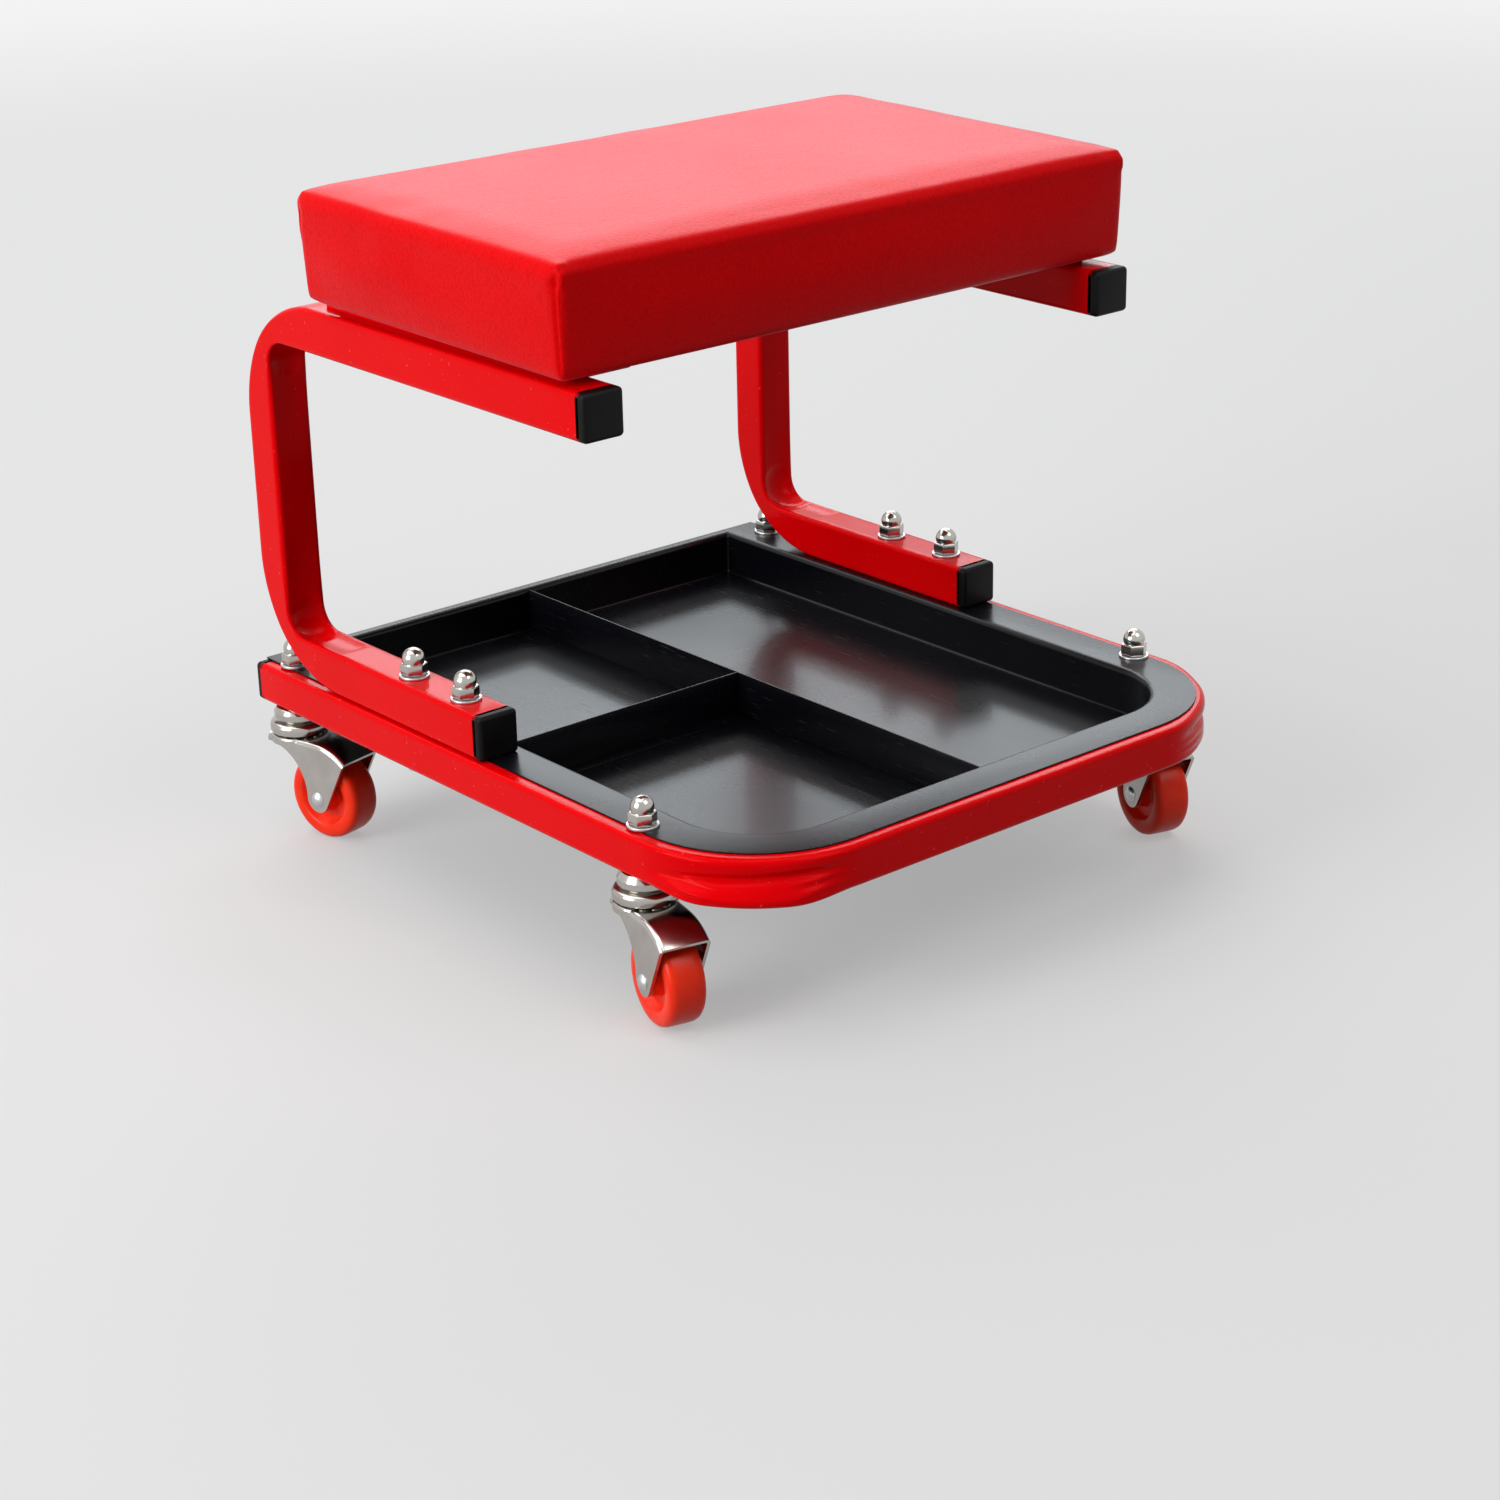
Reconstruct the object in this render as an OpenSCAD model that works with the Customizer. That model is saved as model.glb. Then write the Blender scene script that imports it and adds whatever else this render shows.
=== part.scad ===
// Creeper seat: a padded seat on two bent square tube frames, over a divided tool tray
// and a bent tube base that rolls on four swivel casters. Millimetres, +Z up.
// The origin is on the floor under the middle of the seat's outline. The front is -Y.

/* [Base frame] */
// Width of the base over its two side tubes
base_w = 382; // [350:1:440]
// Length of the base from its front tube to the open rear ends
base_l = 428.5; // [400:0.5:500]
// Width of the base tube, seen from above
base_tube_w = 25; // [22:0.5:30]
// Height of the base tube
base_tube_h = 22.5; // [20:0.5:30]
// Outer radius of the two front bends, seen from above
base_bend_r = 80; // [65:1:100]
// Depth of the crease that bending leaves in the outer wall
base_crease_d = 3.2; // [1.5:0.1:4]
// Wall of every square tube
tube_wall = 1.2; // [1:0.1:1.8]
// Edge radius of every square tube
tube_edge_r = 2.6; // [2:0.1:3.5]

/* [Tool tray] */
// Sheet of the tray and its dividers
sheet_t = 0.8; // [0.6:0.1:1.2]
// Strip of base tube left bare outside the tray flange
tray_inset = 7.5; // [5:0.5:10]
// Width of the tray flange on the sides and the front
tray_flange_w = 24.5; // [22:0.5:28]
// Width of the narrow rear flange
tray_rear_flange_w = 6; // [4:0.5:12]
// How far the rear flange stands past the base tube ends
tray_rear_reach = 4; // [3:0.5:8]
// Depth of the tray under its flange
tray_depth = 27; // [24:0.5:40]
// Distance from the rear of the tray to the cross divider
divider_back = 204; // [150:1:260]

/* [Seat frames] */
// Side of the square seat frame tube
frame_tube = 25; // [22:0.5:30]
// Height of a seat frame over its two arms
frame_h = 220; // [190:1:260]
// Inset of a seat frame from the base side
frame_inset = 2; // [0:0.5:4]
// Distance from the base rear end to the upright
frame_rear_inset = 6.75; // [4:0.25:12]
// Length of the upper arm from the back of the upright
frame_arm_up = 305.5; // [270:0.5:340]
// Length of the lower arm from the back of the upright
frame_arm_low = 203.5; // [190:0.5:240]
// Outer radius of the frame bends
frame_bend_r = 70; // [60:1:80]
// Radius of the pinched inner corner of the frame bends
frame_corner_r = 14; // [10:0.5:18]
// Cross radius of the shallow valley in the inner wall of a frame bend
dent_r = 24; // [18:0.5:30]
// Depth of that valley below the inner corner
dent_depth = 2.4; // [1.5:0.1:3]
// Depth of a tube end plug in its tube
plug_l = 8; // [6:0.5:9]
// Thickness of a tube end plug's head
plug_head_t = 3.9; // [3:0.1:5]

/* [Seat] */
// Width of the seat
seat_w = 386; // [350:1:420]
// Length of the seat from front to back
seat_l = 225.5; // [200:0.5:280]
// Thickness of the seat at its edges
seat_t = 60; // [45:1:80]
// Rise of the seat's middle over its edges
seat_crown = 3; // [1:0.5:8]
// How far each side draws in from top to bottom
seat_taper = 3; // [1:0.5:6]
// How far the middle of each side is pulled in
seat_pinch = 1.2; // [0.5:0.1:3]
// Edge radius around the top of the seat
seat_top_r = 7; // [5:0.5:12]
// Edge radius around the bottom of the seat
seat_bottom_r = 4; // [3:0.5:6]
// Inset of the seat's front from the upper arm ends
seat_front_inset = 4; // [0:0.5:10]
// Thickness of the vinyl cover
cover_t = 1; // [0.8:0.1:1.5]
// Thickness of the plywood seat board
board_t = 12; // [9:0.5:15]
// Width of the cover's hem under the board
hem_w = 30; // [20:1:40]

/* [Seat plates] */
// Thickness of the plates that carry the seat
plate_t = 3; // [2.5:0.5:5]
// Width of a seat plate
plate_w = 41; // [38:1:50]
// Length of a seat plate
plate_l = 213; // [190:1:225]
// Inset of a seat plate from the outer side of its frame
plate_inset = 9; // [7:0.5:10]
// Distance of a plate's front edge from the upper arm end
plate_front_inset = 20; // [15:1:28]
// Distance of the seat bolts from the plate ends
seat_bolt_end = 40; // [25:1:60]
// Distance of the seat bolts from the plate's inner edge
seat_bolt_edge = 12; // [11:0.5:16]
// Diameter of the seat bolts
seat_bolt_d = 6; // [5:0.5:8]

/* [Fasteners] */
// Diameter of the frame bolts and the caster stems
bolt_d = 8; // [7:0.5:9]
// Distance from the lower arm end to the first frame bolt
bolt_front = 24.5; // [20:0.5:35]
// Spacing of the two frame bolts of a side
bolt_pitch = 48; // [40:1:60]
// Clearance between a bolt and its hole, on the radius
bolt_gap = 0.25; // [0.2:0.05:0.4]
// Width of the cap nuts across their flats
nut_af = 13; // [12.5:0.5:14]
// Height of the hexagon of a cap nut
nut_hex_h = 6.5; // [5:0.5:8]
// Whole height of a cap nut with its dome
nut_h = 15; // [13.5:0.5:16]
// Diameter of the flat washers
washer_d = 17; // [16:0.5:18.5]
// Thickness of the flat washers
washer_t = 1.6; // [1.2:0.1:2]

/* [Casters] */
// Height from the floor to the underside of the base
caster_h = 75; // [73:0.5:82]
// Diameter of the wheels
wheel_d = 50; // [46:0.5:51]
// Width of a wheel over its tread
wheel_w = 20.5; // [18:0.5:21.5]
// Distance of the wheel's axle behind the swivel axis
trail = 24; // [22:0.5:26]
// Sheet of the fork and the race cap
fork_t = 1.8; // [1.5:0.1:2.2]
// Width of the fork over its side plates
fork_w = 28.6; // [28:0.1:30]
// Diameter of the fork's top dish and the race cap
race_d = 34; // [33:0.5:36]
// Diameter of the race balls
ball_d = 6; // [5.5:0.25:6.25]
// Number of balls in a race
ball_count = 12; // [8:1:12]
// Diameter of the axle rivet
axle_d = 6; // [5:0.25:6.5]
// Distance from the base front to the front swivel axes
caster_front = 90.65; // [85:0.5:110]
// Distance from the base rear end to the rear swivel axes
caster_rear = 18.65; // [18:0.25:24]
// Direction in which each wheel trails, front left, front right, rear left, rear right
trail_dirs = [-103, -106, -77, -77];

/* [Hidden] */
$fn = 96;

// Running clearance between a turning piece and its pin, on the radius
run_gap = 0.05;
// Clearance between pieces that are fitted tightly, on the radius
fit_gap = 0.02;
// Clearance between pieces that lie on each other or side by side
seat_gap = 0.3;
// Run past a face in every cut
over = 5;

// Levels, from the floor up
base_z = caster_h;
base_top = base_z + base_tube_h;
flange_top = base_top + sheet_t;
tray_floor = flange_top - tray_depth;
frame_z = flange_top;
arm_top = frame_z + frame_tube;
frame_top = frame_z + frame_h;
plate_top = frame_top + plate_t;
seat_z = plate_top;
board_z = seat_z + cover_t;

// Places along the length: the whole model is centred on the base and the tray flange
overall_l = base_l + tray_rear_reach;
base_front = -overall_l / 2;
base_rear = base_front + base_l;
tray_rear = base_front + overall_l;
frame_rear = base_rear - frame_rear_inset;
arm_up_front = frame_rear - frame_arm_up;
arm_low_front = frame_rear - frame_arm_low;
seat_front = arm_up_front + seat_front_inset;
seat_mid = seat_front + seat_l / 2;
plate_front = arm_up_front + plate_front_inset;
bolt_ys = [arm_low_front + bolt_front, arm_low_front + bolt_front + bolt_pitch];
caster_ys = [base_front + caster_front, base_rear - caster_rear];

// Places across the width
base_side = base_w / 2;
tube_mid = base_side - base_tube_w / 2;
frame_side = base_side - frame_inset;
frame_mid = frame_side - frame_tube / 2;
plate_side = frame_side - plate_inset;
seat_bolt_x = plate_side - plate_w + seat_bolt_edge;
seat_bolt_ys = [plate_front + seat_bolt_end, plate_front + plate_l - seat_bolt_end];

// Base bends
bend_x = base_side - base_bend_r;
bend_y = base_front + base_bend_r;
crease_r = base_tube_h * 0.3;
// The crease runs on a flatter arc than the bend, so it fades out at both ends of the bend
crease_shift_share = 4.2;
crease_shift = base_crease_d * crease_shift_share;
crease_path_r = base_bend_r + crease_r - base_crease_d + crease_shift;

// Tray outlines
flange_side = base_side - tray_inset;
flange_front = base_front + tray_inset;
flange_r = base_bend_r - tray_inset;
wall_side = flange_side - tray_flange_w;
wall_front = flange_front + tray_flange_w;
wall_rear = tray_rear - tray_rear_flange_w;
wall_r = flange_r - tray_flange_w;
floor_top = tray_floor + sheet_t;
divider_y = tray_rear - divider_back;
divider_top = flange_top - sheet_t;

// Frame bends
bend_mid_y = frame_rear - frame_bend_r;
corner_y = frame_rear - frame_tube - frame_corner_r;

// Bolts and nuts
hole_r = bolt_d / 2 + bolt_gap;
nut_bore_r = bolt_d / 2 + fit_gap;
nut_dome_r = nut_af * 0.48;
nut_bore_h = nut_h - nut_af * 0.28;
stem_reach = nut_bore_h - fit_gap * bolt_d;
bolt_head_h = bolt_d * 0.66;
hex_share = 1 / cos(30);

// Caster levels
axle_z = wheel_d / 2;
collar_h = bolt_d * 0.81;
collar_r = race_d * 0.42;
race_top = base_z - collar_h;
cap_boss_h = race_d * 0.065;
race_h = race_d * 0.18;
fork_gap = race_d * 0.035;
cap_shoulder = race_top - cap_boss_h;
cap_lip = cap_shoulder - race_h;
fork_top = cap_lip - fork_gap;
ball_r = ball_d / 2;
ball_ceiling = cap_shoulder - fork_t;
ball_z = ball_ceiling - run_gap - ball_r;
ball_path_r = race_d / 2 - fork_t - ball_r - seat_gap;
cap_boss_r = race_d * 0.37;
dish_drop = race_d * 0.138;
pin_r = bolt_d * 0.56;
pin_head_r = pin_r * 1.75;
pin_head_h = fork_t * 1.6;

// Fork outline
hood_r = fork_top - axle_z;
hood_end = 50;
fork_bend_r = fork_t * 1.8;
lobe_r = axle_d * 1.3;
plate_rear = race_d * 0.36;
scoop_r = hood_r * 0.85;
scoop_x = trail - lobe_r - scoop_r;
side_in = fork_w / 2 - fork_t;

// Wheel section
hub_r = axle_d * 1.35;
bush_r = axle_d * 0.68;
hub_w = 2 * (side_in - seat_gap);
web_w = wheel_w * 0.56;
recess_r = wheel_d * 0.3;
rim_slope = wheel_d * 0.03;
shoulder_r = wheel_w * 0.16;
rivet_head_r = axle_d * 0.76;
rivet_head_h = axle_d * 0.36;

// Seat form: points on a ring, steps of a rounded edge, and rings of the crown
ring_corner_steps = 4;
ring_side_steps = 5;
edge_steps = 3;
crown_shares = [0.82, 0.6, 0.38, 0.18];
seat_corner_r = seat_top_r * 1.1;
board_in = seat_taper + seat_bottom_r * 1.2;
tee_flange_r = seat_bolt_d * 1.6;
tee_barrel_r = seat_bolt_d * 0.72;
tee_flange_t = seat_bolt_d * 0.2;
seat_head_r = seat_bolt_d * 0.95;
seat_head_h = seat_bolt_d * 0.55;
seat_washer_r = seat_bolt_d * 1.35;
seat_washer_t = seat_bolt_d * 0.2;

side_names = ["left", "right"];
caster_names = ["front_left", "front_right", "rear_left", "rear_right"];

// Where each caster stands: front left, front right, rear left, rear right
caster_places = [
    [-tube_mid, caster_ys[0]],
    [tube_mid, caster_ys[0]],
    [-tube_mid, caster_ys[1]],
    [tube_mid, caster_ys[1]]];

// A rectangle with round corners, centred
module round_rect(w, h, r) {
    square([w, h - 2 * r], center = true);
    square([w - 2 * r, h], center = true);
    for (x = [-1, 1], y = [-1, 1])
        translate([x * (w / 2 - r), y * (h / 2 - r)]) circle(r);
}

// A bar of round-cornered section from y0 to y1
module bar_y(w, h, r, y0, y1) {
    translate([0, y1, 0]) rotate([90, 0, 0]) linear_extrude(y1 - y0) round_rect(w, h, r);
}

// A hexagonal prism whose corners are chamfered at the top
module hex_bar(af, h) {
    corner = af / 2 * hex_share;
    chamfer_h = corner - af / 2;
    intersection() {
        cylinder(h = h, r = corner, $fn = 6);
        union() {
            cylinder(h = h - chamfer_h, r = corner + over);
            translate([0, 0, h - chamfer_h]) cylinder(h = chamfer_h, r1 = corner, r2 = af / 2);
        }
    }
}

// The two bolts of each seat frame, and the four caster stems
module at_frame_bolts() {
    for (x = [-frame_mid, frame_mid], y = bolt_ys) translate([x, y, 0]) children();
}

module at_casters() {
    for (p = caster_places) translate([p[0], p[1], 0]) children();
}

// The base: a U of tube with its two bends at the front. grow is the offset of each wall.
module base_path(grow, ends) {
    w = base_tube_w + 2 * grow;
    h = base_tube_h + 2 * grow;
    r = tube_edge_r + grow;
    translate([0, 0, base_z + base_tube_h / 2]) {
        for (x = [-tube_mid, tube_mid])
            translate([x, 0, 0]) bar_y(w, h, r, bend_y, base_rear + ends);
        translate([-bend_x, base_front + base_tube_w / 2, 0]) rotate([90, 0, 90])
            linear_extrude(2 * bend_x) round_rect(w, h, r);
        for (s = [0, 1])
            mirror([s, 0, 0]) translate([bend_x, bend_y, 0]) rotate([0, 0, -90])
                rotate_extrude(angle = 90) translate([base_bend_r - base_tube_w / 2, 0])
                    round_rect(w, h, r);
    }
}

// The crease in the outer wall of each bend, deepest in the middle of the bend
module base_creases(grow) {
    middle = crease_shift * cos(45);
    for (s = [0, 1])
        mirror([s, 0, 0]) translate([bend_x - middle, bend_y + middle, base_z + base_tube_h / 2])
            rotate([0, 0, -90]) rotate_extrude(angle = 90) translate([crease_path_r, 0])
                circle(crease_r + grow);
}

module base_frame() {
    color("red")
    difference() {
        base_path(0, 0);
        base_creases(0);
        difference() {
            base_path(-tube_wall, over);
            base_creases(tube_wall);
        }
        at_casters() translate([0, 0, base_z - over]) cylinder(h = base_tube_h + 2 * over, r = hole_r);
        at_frame_bolts() translate([0, 0, base_z - over]) cylinder(h = base_tube_h + 2 * over, r = hole_r);
    }
}

// A plug for a tube end that faces -Y: a domed head on the end and a ribbed part inside
module tube_plug(w, h, end_y) {
    in_w = w - 2 * tube_wall;
    in_h = h - 2 * tube_wall;
    rib_gap = 2 * fit_gap;
    rib_t = plug_l * 0.14;
    core_in = plug_l * 0.16;
    core_r = tube_edge_r - tube_wall;
    edge_r = plug_head_t * 0.45;
    bar_y(w - 2 * edge_r, h - 2 * edge_r, tube_edge_r - edge_r / 2, end_y - plug_head_t, end_y);
    bar_y(w, h, tube_edge_r, end_y - plug_head_t + edge_r, end_y);
    for (x = [-1, 1], z = [-1, 1])
        translate([x * (w / 2 - tube_edge_r), end_y - plug_head_t + edge_r, z * (h / 2 - tube_edge_r)])
            sphere(edge_r);
    bar_y(in_w - 2 * core_in, in_h - 2 * core_in, core_r, end_y, end_y + plug_l);
    for (k = [0:2])
        bar_y(in_w - 2 * rib_gap, in_h - 2 * rib_gap, core_r,
            end_y + plug_l * (0.2 + 0.3 * k), end_y + plug_l * (0.2 + 0.3 * k) + rib_t);
}

module base_plugs() {
    color([0.06, 0.06, 0.06])
    for (x = [-tube_mid, tube_mid])
        translate([x, 0, base_z + base_tube_h / 2]) rotate([0, 0, 180])
            tube_plug(base_tube_w, base_tube_h, -base_rear);
}

// A plate with square rear corners and round front corners
module tray_plate(side, front, rear, r, z, h) {
    translate([-side, front + r, z]) cube([2 * side, rear - front - r, h]);
    translate([-side + r, front, z]) cube([2 * (side - r), rear - front, h]);
    for (x = [-1, 1]) translate([x * (side - r), front + r, z]) cylinder(h = h, r = r);
}

module tool_tray() {
    color([0.07, 0.07, 0.08])
    difference() {
        union() {
            tray_plate(flange_side, flange_front, tray_rear, flange_r, base_top, sheet_t);
            tray_plate(wall_side, wall_front, wall_rear, wall_r, tray_floor, tray_depth - sheet_t / 2);
        }
        tray_plate(wall_side - sheet_t, wall_front + sheet_t, wall_rear - sheet_t, wall_r - sheet_t,
            floor_top, tray_depth + over);
        at_casters() translate([0, 0, base_top - over]) cylinder(h = sheet_t + 2 * over, r = hole_r);
        at_frame_bolts() translate([0, 0, base_top - over]) cylinder(h = sheet_t + 2 * over, r = hole_r);
    }
}

module long_divider() {
    color([0.07, 0.07, 0.08])
    translate([-sheet_t / 2, wall_front + sheet_t, floor_top])
        cube([sheet_t, wall_rear - wall_front - 2 * sheet_t, divider_top - floor_top]);
}

module cross_divider() {
    color([0.07, 0.07, 0.08])
    translate([-wall_side + sheet_t, divider_y - sheet_t / 2, floor_top])
        cube([wall_side - sheet_t * 1.5, sheet_t, divider_top - floor_top]);
}

// What lies on the open side of a frame's inner wall, seen in section: it ends at y = 0 and
// its two edges flare out, so that the tube's edges stay round where it is cut away
module inner_side(w, r, reach) {
    translate([-w / 2 - over, -reach]) square([w + 2 * over, reach]);
    for (s = [-1, 1])
        difference() {
            translate([s > 0 ? w / 2 - r : -w / 2 - over, 0]) square([r + over, r]);
            translate([s * (w / 2 - r), r]) circle(r);
        }
}

// One bend of a seat frame: a band with a wide outer arc, pinched to a tight inner corner
// and dented along the inner wall. It turns from the lower arm into the upright.
module frame_bend(grow) {
    w = frame_tube + 2 * grow;
    r = tube_edge_r + grow;
    band = frame_tube + frame_corner_r;
    run = frame_bend_r;
    difference() {
        translate([0, bend_mid_y, frame_bend_r]) rotate([0, 90, 0])
            rotate_extrude(angle = 90) difference() {
                translate([frame_bend_r + grow - band / 2, 0]) round_rect(band, w, r);
                square([over, w + over], center = true);
            }
        translate([0, corner_y, frame_tube + grow]) rotate([90, 0, 0]) linear_extrude(run)
            mirror([0, 1]) inner_side(w, r, run);
        translate([0, corner_y + frame_corner_r - grow, frame_tube + frame_corner_r]) linear_extrude(run)
            inner_side(w, r, run);
        translate([0, corner_y, frame_tube + frame_corner_r]) rotate([0, 90, 0]) {
            cylinder(h = w + 2 * over, r = frame_corner_r / 2, center = true);
            rotate_extrude() rotate(-90) translate([0, frame_corner_r - grow])
                inner_side(w, r, frame_corner_r * 2 / 3);
        }
        frame_dent(-grow);
    }
}

// The valley runs round the inner corner and is a lens in section
module frame_dent(grow) {
    translate([0, corner_y, frame_tube + frame_corner_r]) rotate([0, 90, 0])
        rotate_extrude() intersection() {
            translate([frame_corner_r + dent_depth - dent_r, 0]) circle(dent_r + grow);
            translate([frame_corner_r / 2, -frame_tube / 2]) square([frame_corner_r, frame_tube]);
        }
}

// The whole C of a seat frame, standing on z = 0 with its mid plane at x = 0
module frame_path(grow, ends) {
    w = frame_tube + 2 * grow;
    r = tube_edge_r + grow;
    translate([0, 0, frame_tube / 2]) bar_y(w, w, r, arm_low_front - ends, bend_mid_y);
    translate([0, 0, frame_h - frame_tube / 2]) bar_y(w, w, r, arm_up_front - ends, bend_mid_y);
    translate([0, frame_rear - frame_tube / 2, frame_bend_r])
        linear_extrude(frame_h - 2 * frame_bend_r) round_rect(w, w, r);
    frame_bend(grow);
    translate([0, 0, frame_h]) mirror([0, 0, 1]) frame_bend(grow);
}

module seat_frame(side) {
    color("red")
    difference() {
        translate([side * frame_mid, 0, frame_z]) difference() {
            frame_path(0, 0);
            frame_path(-tube_wall, over);
        }
        at_frame_bolts() translate([0, 0, frame_z - over]) cylinder(h = frame_tube + 2 * over, r = hole_r);
    }
}

// The flat plate welded on an upper arm, which carries the seat past the arm's inner side
module seat_plate(side) {
    color("red")
    difference() {
        translate([side * (plate_side - plate_w / 2), plate_front + plate_l / 2, frame_top])
            linear_extrude(plate_t) round_rect(plate_w, plate_l, plate_t);
        for (y = seat_bolt_ys)
            translate([side * seat_bolt_x, y, frame_top - over])
                cylinder(h = plate_t + 2 * over, r = seat_bolt_d / 2 + bolt_gap);
    }
}

module arm_plugs(end_y, level) {
    color([0.06, 0.06, 0.06])
    for (x = [-frame_mid, frame_mid]) translate([x, 0, level]) tube_plug(frame_tube, frame_tube, end_y);
}

// Outline of the seat at one height: side by side corner arcs and pulled-in sides
function seat_ring(z, inset, pinch, share) = let (
        a = seat_w / 2 - inset, b = seat_l / 2 - inset, r = max(seat_corner_r - inset, seat_corner_r / 4))
    [for (c = [0:3], k = [0:ring_corner_steps + ring_side_steps - 1])
        let (
            sx = (c == 0 || c == 3) ? 1 : -1,
            sy = c < 2 ? 1 : -1,
            nx = c == 0 ? -1 : (c == 2 ? 1 : sx),
            ny = c == 1 ? -1 : (c == 3 ? 1 : sy),
            turn = 90 * (c + min(k, ring_corner_steps) / ring_corner_steps),
            t = max(k - ring_corner_steps, 0) / ring_side_steps,
            pull = 4 * t * (1 - t) * pinch,
            x = sx * (a - r) + r * cos(turn) + (nx - sx) * (a - r) * t,
            y = sy * (b - r) + r * sin(turn) + (ny - sy) * (b - r) * t)
        [(x - (c % 2 == 1 ? sx * pull : 0)) * share, (y - (c % 2 == 0 ? sy * pull : 0)) * share, z]];

// The seat's closed form, smaller by shrink all round
module seat_form(shrink) {
    low = shrink;
    high = seat_t - shrink;
    waist = seat_pinch;
    bottom_rings = [for (k = [0:edge_steps]) seat_ring(
        low + seat_bottom_r * (1 - cos(90 * k / edge_steps)),
        shrink + seat_taper + seat_bottom_r * (1 - sin(90 * k / edge_steps)), 0, 1)];
    side_rings = [for (k = [1:2]) seat_ring(
        low + seat_bottom_r + (high - low - seat_bottom_r - seat_top_r) * k / 3,
        shrink + seat_taper * (1 - k / 3), waist, 1)];
    top_rings = [for (k = [0:edge_steps]) seat_ring(
        high - seat_top_r * (1 - sin(90 * k / edge_steps)),
        shrink + seat_top_r * (1 - cos(90 * k / edge_steps)), 0, 1)];
    crown_rings = [for (s = crown_shares)
        seat_ring(high + seat_crown * (1 - s * s), shrink + seat_top_r, 0, s)];
    rings = concat(bottom_rings, side_rings, top_rings, crown_rings);
    n = len(rings[0]);
    count = len(rings);
    points = concat([for (ring = rings) each ring], [[0, 0, high + seat_crown], [0, 0, low]]);
    walls = [for (i = [0:count - 2], k = [0:n - 1]) let (a = i * n + k, b = i * n + (k + 1) % n)
        each [[a, b + n, b], [a, a + n, b + n]]];
    lid = [for (k = [0:n - 1]) [(count - 1) * n + k, count * n, (count - 1) * n + (k + 1) % n]];
    floor_fan = [for (k = [0:n - 1]) [k, (k + 1) % n, count * n + 1]];
    translate([0, seat_mid, seat_z])
        polyhedron(points = points, faces = concat(walls, lid, floor_fan), convexity = 4);
}

module seat_board_block(gap, h) {
    translate([0, seat_mid, board_z]) linear_extrude(h)
        round_rect(seat_w - 2 * board_in + 2 * gap, seat_l - 2 * board_in + 2 * gap, seat_corner_r);
}

// The vinyl skin, folded under the board as a hem
module seat_cover() {
    color([0.8, 0.05, 0.08])
    difference() {
        seat_form(0);
        seat_form(cover_t);
        translate([0, seat_mid, seat_z - over])
            linear_extrude(cover_t + 2 * over)
                round_rect(seat_w - 2 * hem_w, seat_l - 2 * hem_w, seat_corner_r);
        at_seat_bolts() translate([0, 0, seat_z - over])
            cylinder(h = cover_t + 2 * over, r = seat_bolt_d / 2 + bolt_gap);
    }
}

module seat_foam() {
    color([0.95, 0.9, 0.7])
    difference() {
        seat_form(cover_t + seat_gap);
        translate([-seat_w, seat_mid - seat_l, board_z - over])
            cube([2 * seat_w, 2 * seat_l, board_t + over]);
    }
}

module seat_board() {
    color([0.8, 0.65, 0.4])
    difference() {
        seat_board_block(0, board_t);
        for (x = [-seat_bolt_x, seat_bolt_x], y = seat_bolt_ys)
            translate([x, y, board_z]) {
                translate([0, 0, -over]) cylinder(h = board_t + 2 * over, r = tee_barrel_r + fit_gap);
                translate([0, 0, board_t - tee_flange_t]) cylinder(h = over, r = tee_flange_r + fit_gap);
            }
    }
}

module at_seat_bolts() {
    for (x = [-seat_bolt_x, seat_bolt_x], y = seat_bolt_ys) translate([x, y, 0]) children();
}

// Tee nuts pressed into the board from above
module seat_tee_nuts() {
    color("silver")
    at_seat_bolts() translate([0, 0, board_z]) difference() {
        union() {
            translate([0, 0, board_t * 0.2]) cylinder(h = board_t * 0.8, r = tee_barrel_r);
            translate([0, 0, board_t - tee_flange_t]) cylinder(h = tee_flange_t, r = tee_flange_r);
        }
        cylinder(h = board_t + over, r = seat_bolt_d / 2 + fit_gap);
    }
}

module seat_bolts() {
    color("silver")
    at_seat_bolts() translate([0, 0, frame_top - seat_washer_t]) {
        cylinder(h = board_z + board_t * 0.9 - frame_top + seat_washer_t, r = seat_bolt_d / 2);
        rotate([180, 0, 0]) intersection() {
            cylinder(h = seat_head_h, r = seat_head_r);
            translate([0, 0, seat_head_h - seat_head_r * 1.6]) sphere(seat_head_r * 1.6);
        }
    }
}

module seat_bolt_washers() {
    color("silver")
    at_seat_bolts() translate([0, 0, frame_top - seat_washer_t]) difference() {
        cylinder(h = seat_washer_t, r = seat_washer_r);
        translate([0, 0, -over]) cylinder(h = seat_washer_t + 2 * over, r = seat_bolt_d / 2 + bolt_gap);
    }
}

// A domed cap nut that stands on z = 0
module cap_nut() {
    difference() {
        union() {
            hex_bar(nut_af, nut_hex_h);
            cylinder(h = nut_h - nut_dome_r, r = nut_dome_r);
            translate([0, 0, nut_h - nut_dome_r]) sphere(nut_dome_r);
        }
        translate([0, 0, -over]) cylinder(h = nut_bore_h + over, r = nut_bore_r);
    }
}

module flat_washer() {
    difference() {
        cylinder(h = washer_t, r = washer_d / 2);
        translate([0, 0, -over]) cylinder(h = washer_t + 2 * over, r = hole_r);
    }
}

module frame_bolts() {
    color("silver")
    at_frame_bolts() {
        translate([0, 0, base_z]) cylinder(h = arm_top + washer_t + stem_reach - base_z, r = bolt_d / 2);
        translate([0, 0, base_z]) rotate([180, 0, 0]) hex_bar(nut_af, bolt_head_h);
    }
}

module frame_washers() {
    color("silver") at_frame_bolts() translate([0, 0, arm_top]) flat_washer();
}

module frame_cap_nuts() {
    color("silver") at_frame_bolts() translate([0, 0, arm_top + washer_t]) cap_nut();
}

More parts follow.
